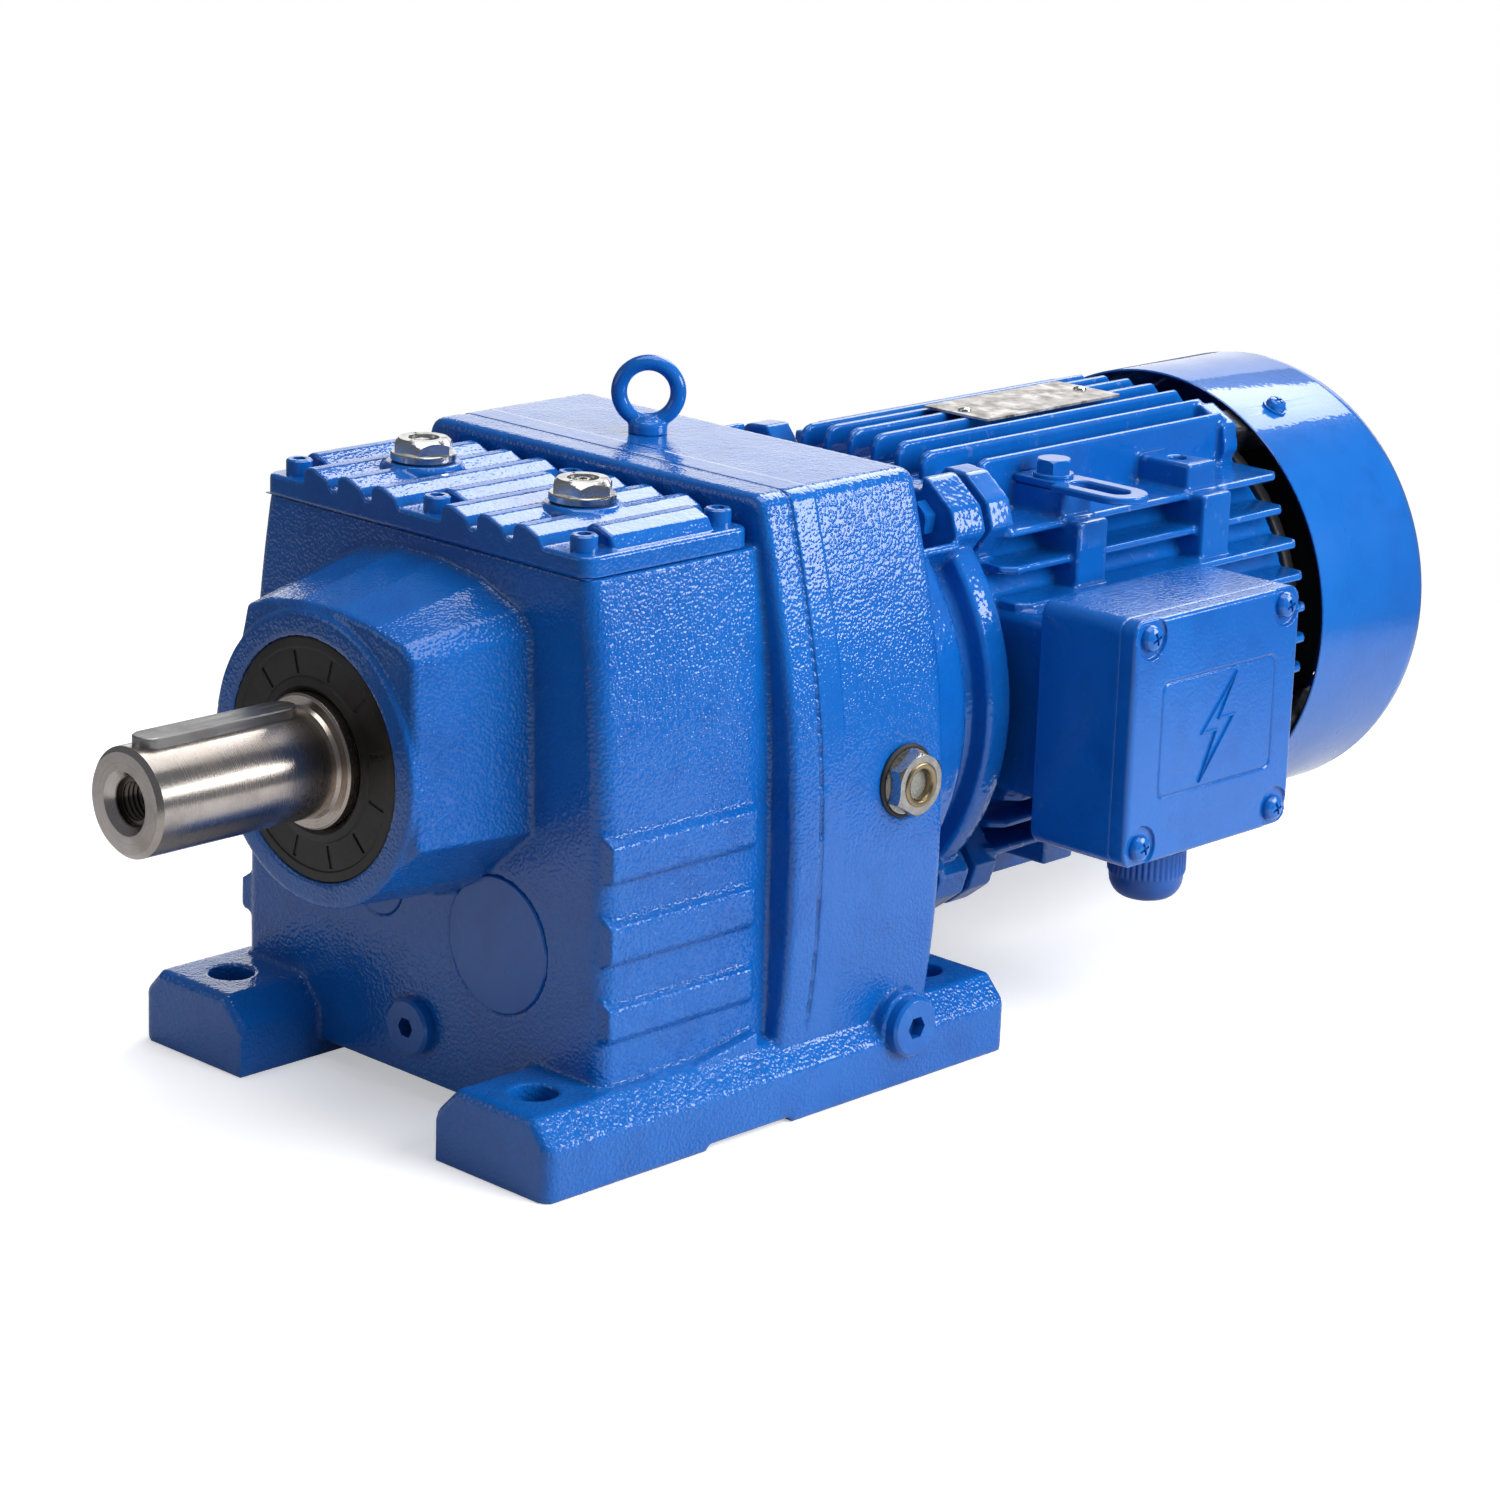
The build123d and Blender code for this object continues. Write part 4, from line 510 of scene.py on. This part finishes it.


# ---------------------------------------------------------------- black rubber ring behind the sight glass, shaped as a squeezed-out seal: a dark stand-in for the painted shade in the spotface
def spotface_shade_ring():
    cy, cz, x0 = 0.060, 0.121, 0.1112
    prof = [(12.0, 0.05), (14.1, 0.05), (14.35, 0.5), (14.2, 1.0), (13.7, 1.35), (12.9, 1.4), (12.5, 1.1), (12.45, 0.6)]
    n = 96
    vs, fs = [], []
    for r, h in prof:
        for i in range(n):
            t = 2 * pi * i / n
            vs.append((x0 + h * MM, cy + r * MM * cos(t), cz + r * MM * sin(t)))
    k = len(prof)
    for j in range(k):
        for i in range(n):
            fs.append((j * n + i, j * n + (i + 1) % n, ((j + 1) % k) * n + (i + 1) % n, ((j + 1) % k) * n + i))
    ob = make("sight_glass_shade_ring", vs, fs, M["rubber"], BODY["sight_glass_body"])
    bm = bmesh.new()
    bm.from_mesh(ob.data)
    bmesh.ops.recalc_face_normals(bm, faces=bm.faces)
    bm.to_mesh(ob.data)
    bm.free()


spotface_shade_ring()


# ---------------------------------------------------------------- raised bolt sign on the terminal box cover
def ridge_loop(name, pts, x0, w, h, mat, body, round_=0.0):
    """A closed raised ridge on the plane x = x0; pts are (y, z) in metres, mitred at the corners."""
    n = len(pts)
    rows = []
    for off, hh in ((w / 2, 0.0), (w * 0.36, h * 0.72), (w * 0.16, h), (-w * 0.16, h), (-w * 0.36, h * 0.72), (-w / 2, 0.0)):
        row = []
        for i in range(n):
            p0, p1, p2 = Vector(pts[i - 1]), Vector(pts[i]), Vector(pts[(i + 1) % n])
            d0, d1 = (p1 - p0).normalized(), (p2 - p1).normalized()
            n0, n1 = Vector((-d0.y, d0.x)), Vector((-d1.y, d1.x))
            mit = (n0 + n1)
            mit = mit / max(mit.length_squared, 0.35) * 2.0
            q = p1 + mit * off * 0.5 * 2.0 / 2.0
            row.append((x0 + hh, q.x, q.y))
        rows.append(row)
    vs = [v for r in rows for v in r]
    fs = []
    for j in range(len(rows)):
        m = (j + 1) % len(rows)
        for i in range(n):
            k = (i + 1) % n
            fs.append((j * n + i, j * n + k, m * n + k, m * n + i))
    ob = make(name, vs, fs, mat, body, (), smooth_on=False)
    bm = bmesh.new()
    bm.from_mesh(ob.data)
    bmesh.ops.recalc_face_normals(bm, faces=bm.faces)
    bm.to_mesh(ob.data)
    bm.free()
    return ob


bolt = [(8.5, 18.5), (-8.0, -1.0), (-0.5, -1.0), (-8.5, -18.5), (8.5, 3.0), (0.5, 3.0)]
ridge_loop("cover_sign", [((191.0 + 1.15 * a) * MM, (128.0 + 1.1 * b) * MM) for a, b in bolt], 0.1550 - 0.0001, 0.0021, 0.0011, M["small"], BODY["terminal_box_cover"])

# ---------------------------------------------------------------- floor, light, camera
FLOOR_R = 0.95


def floor_material():
    m = Mat("floor_pale")
    a = m.noise(3, 2)
    m.p.inputs["Emission Color"].default_value = (1, 1, 1, 1)
    # the sheet is lifted for the eye only, so it stays pale without lighting the piece
    lp = m.new("ShaderNodeLightPath")
    eye = lp.outputs["Is Camera Ray"]
    m.link(m.maprange(eye, 0.0, 1.0, 0.03, 0.42, smooth=False), m.p.inputs["Emission Strength"])
    pale = m.mix(m.ramp(a, [(0.3, 0.0), (0.7, 1.0)]), (0.88, 0.88, 0.88), (0.91, 0.91, 0.91))
    m.set(color=m.mix(eye, (0.56, 0.56, 0.57), pale), rough=0.6, spec=0.1)
    # the sheet fades out into the white sweep
    o = m.sep()
    r = m.math("SQRT", m.math("ADD", m.math("MULTIPLY", o[0], o[0]), m.math("MULTIPLY", o[1], o[1])))
    fade = m.maprange(r, FLOOR_R * 0.62, FLOOR_R * 0.98, 0.0, 1.0)
    clear = m.new("ShaderNodeBsdfTransparent")
    mx = m.new("ShaderNodeMixShader")
    m.link(fade, mx.inputs[0])
    m.link(m.p.outputs[0], mx.inputs[1])
    m.link(clear.outputs[0], mx.inputs[2])
    m.link(mx.outputs[0], m.out.inputs[0])
    return m.m


fverts, ffaces = [(0, 0.05, -0.0002)], []
for k in range(96):
    t = 2 * pi * k / 96
    fverts.append((FLOOR_R * cos(t), 0.05 + FLOOR_R * sin(t), -0.0002))
for k in range(96):
    ffaces.append((0, k + 1, (k + 1) % 96 + 1))
fme = bpy.data.meshes.new("floor")
fme.from_pydata(fverts, [], ffaces)
floor = link(bpy.data.objects.new("floor", fme))
fme.materials.append(floor_material())

# white paper sweep all round for the eye, a dim studio for the paint to mirror
world = bpy.data.worlds.new("studio")
scene.world = world
world.use_nodes = True
wt = world.node_tree
wt.nodes.clear()
wo = wt.nodes.new("ShaderNodeOutputWorld")
wa = wt.nodes.new("ShaderNodeBackground")
wb = wt.nodes.new("ShaderNodeBackground")
wm = wt.nodes.new("ShaderNodeMixShader")
wl = wt.nodes.new("ShaderNodeLightPath")
wa.inputs["Color"].default_value = (0.80, 0.86, 1.0, 1)
wa.inputs["Strength"].default_value = 0.16
wb.inputs["Color"].default_value = (1.0, 1.0, 1.0, 1)
wb.inputs["Strength"].default_value = 1.0
wt.links.new(wl.outputs["Is Camera Ray"], wm.inputs[0])
wt.links.new(wa.outputs[0], wm.inputs[1])
wt.links.new(wb.outputs[0], wm.inputs[2])
wt.links.new(wm.outputs[0], wo.inputs[0])


def area(name, loc, aim, sx, sy, power, color=(1, 1, 1)):
    li = bpy.data.lights.new(name, "AREA")
    li.shape = "RECTANGLE"
    li.size, li.size_y = sx, sy
    li.energy = power
    li.color = color
    ob = link(bpy.data.objects.new(name, li))
    ob.location = loc
    ob.rotation_mode = "QUATERNION"
    ob.rotation_quaternion = (Vector(aim) - Vector(loc)).to_track_quat("-Z", "Y")
    return ob


C = (0, 0.08, 0.12)
area("top_soft", (0.10, 0.10, 1.65), C, 1.3, 1.3, 14)
# broad light for the right sides, felt but not mirrored
area("right_key", (1.45, 0.45, 0.85), C, 1.2, 1.2, 37).visible_glossy = False
# near panel that only the gloss sees: it draws the sparkle along the upper sides
near = area("near_panel", (0.66, 0.56, 0.43), (0.11, 0.03, 0.17), 0.44, 0.28, 2.5)
near.data.shape = "ELLIPSE"
near.visible_diffuse = False
area("back_top", (-0.46, 1.60, 1.60), C, 1.1, 1.0, 17)
area("back_sweep", (-1.45, 1.75, 0.62), C, 2.2, 1.0, 7.4)
area("front_fill", (-0.9, -1.7, 0.75), C, 1.2, 0.9, 2.5)

cam_data = bpy.data.cameras.new("camera")
cam = link(bpy.data.objects.new("camera", cam_data))
cam_data.sensor_width = 36.0
cam_data.lens = 102.15
cam_data.shift_x = -0.00427
cam_data.shift_y = 0.00195
cam_data.clip_start, cam_data.clip_end = 0.05, 60
X, Y, Z = Vector((0.7169, 0.6965, 0.0326)), Vector((-0.2171, 0.1786, 0.9596)), Vector((0.6626, -0.6950, 0.2792))
Z.normalize()
X = (X - Z * X.dot(Z)).normalized()
Y = Z.cross(X)
rot = Matrix((X, Y, Z)).transposed()
cam.matrix_world = Matrix.Translation((1.1218, -1.0810, 0.5725)) @ rot.to_4x4()
scene.camera = cam

scene.view_settings.view_transform = "Standard"
scene.view_settings.look = "None"
scene.view_settings.exposure = 0.0
scene.view_settings.gamma = 1.0
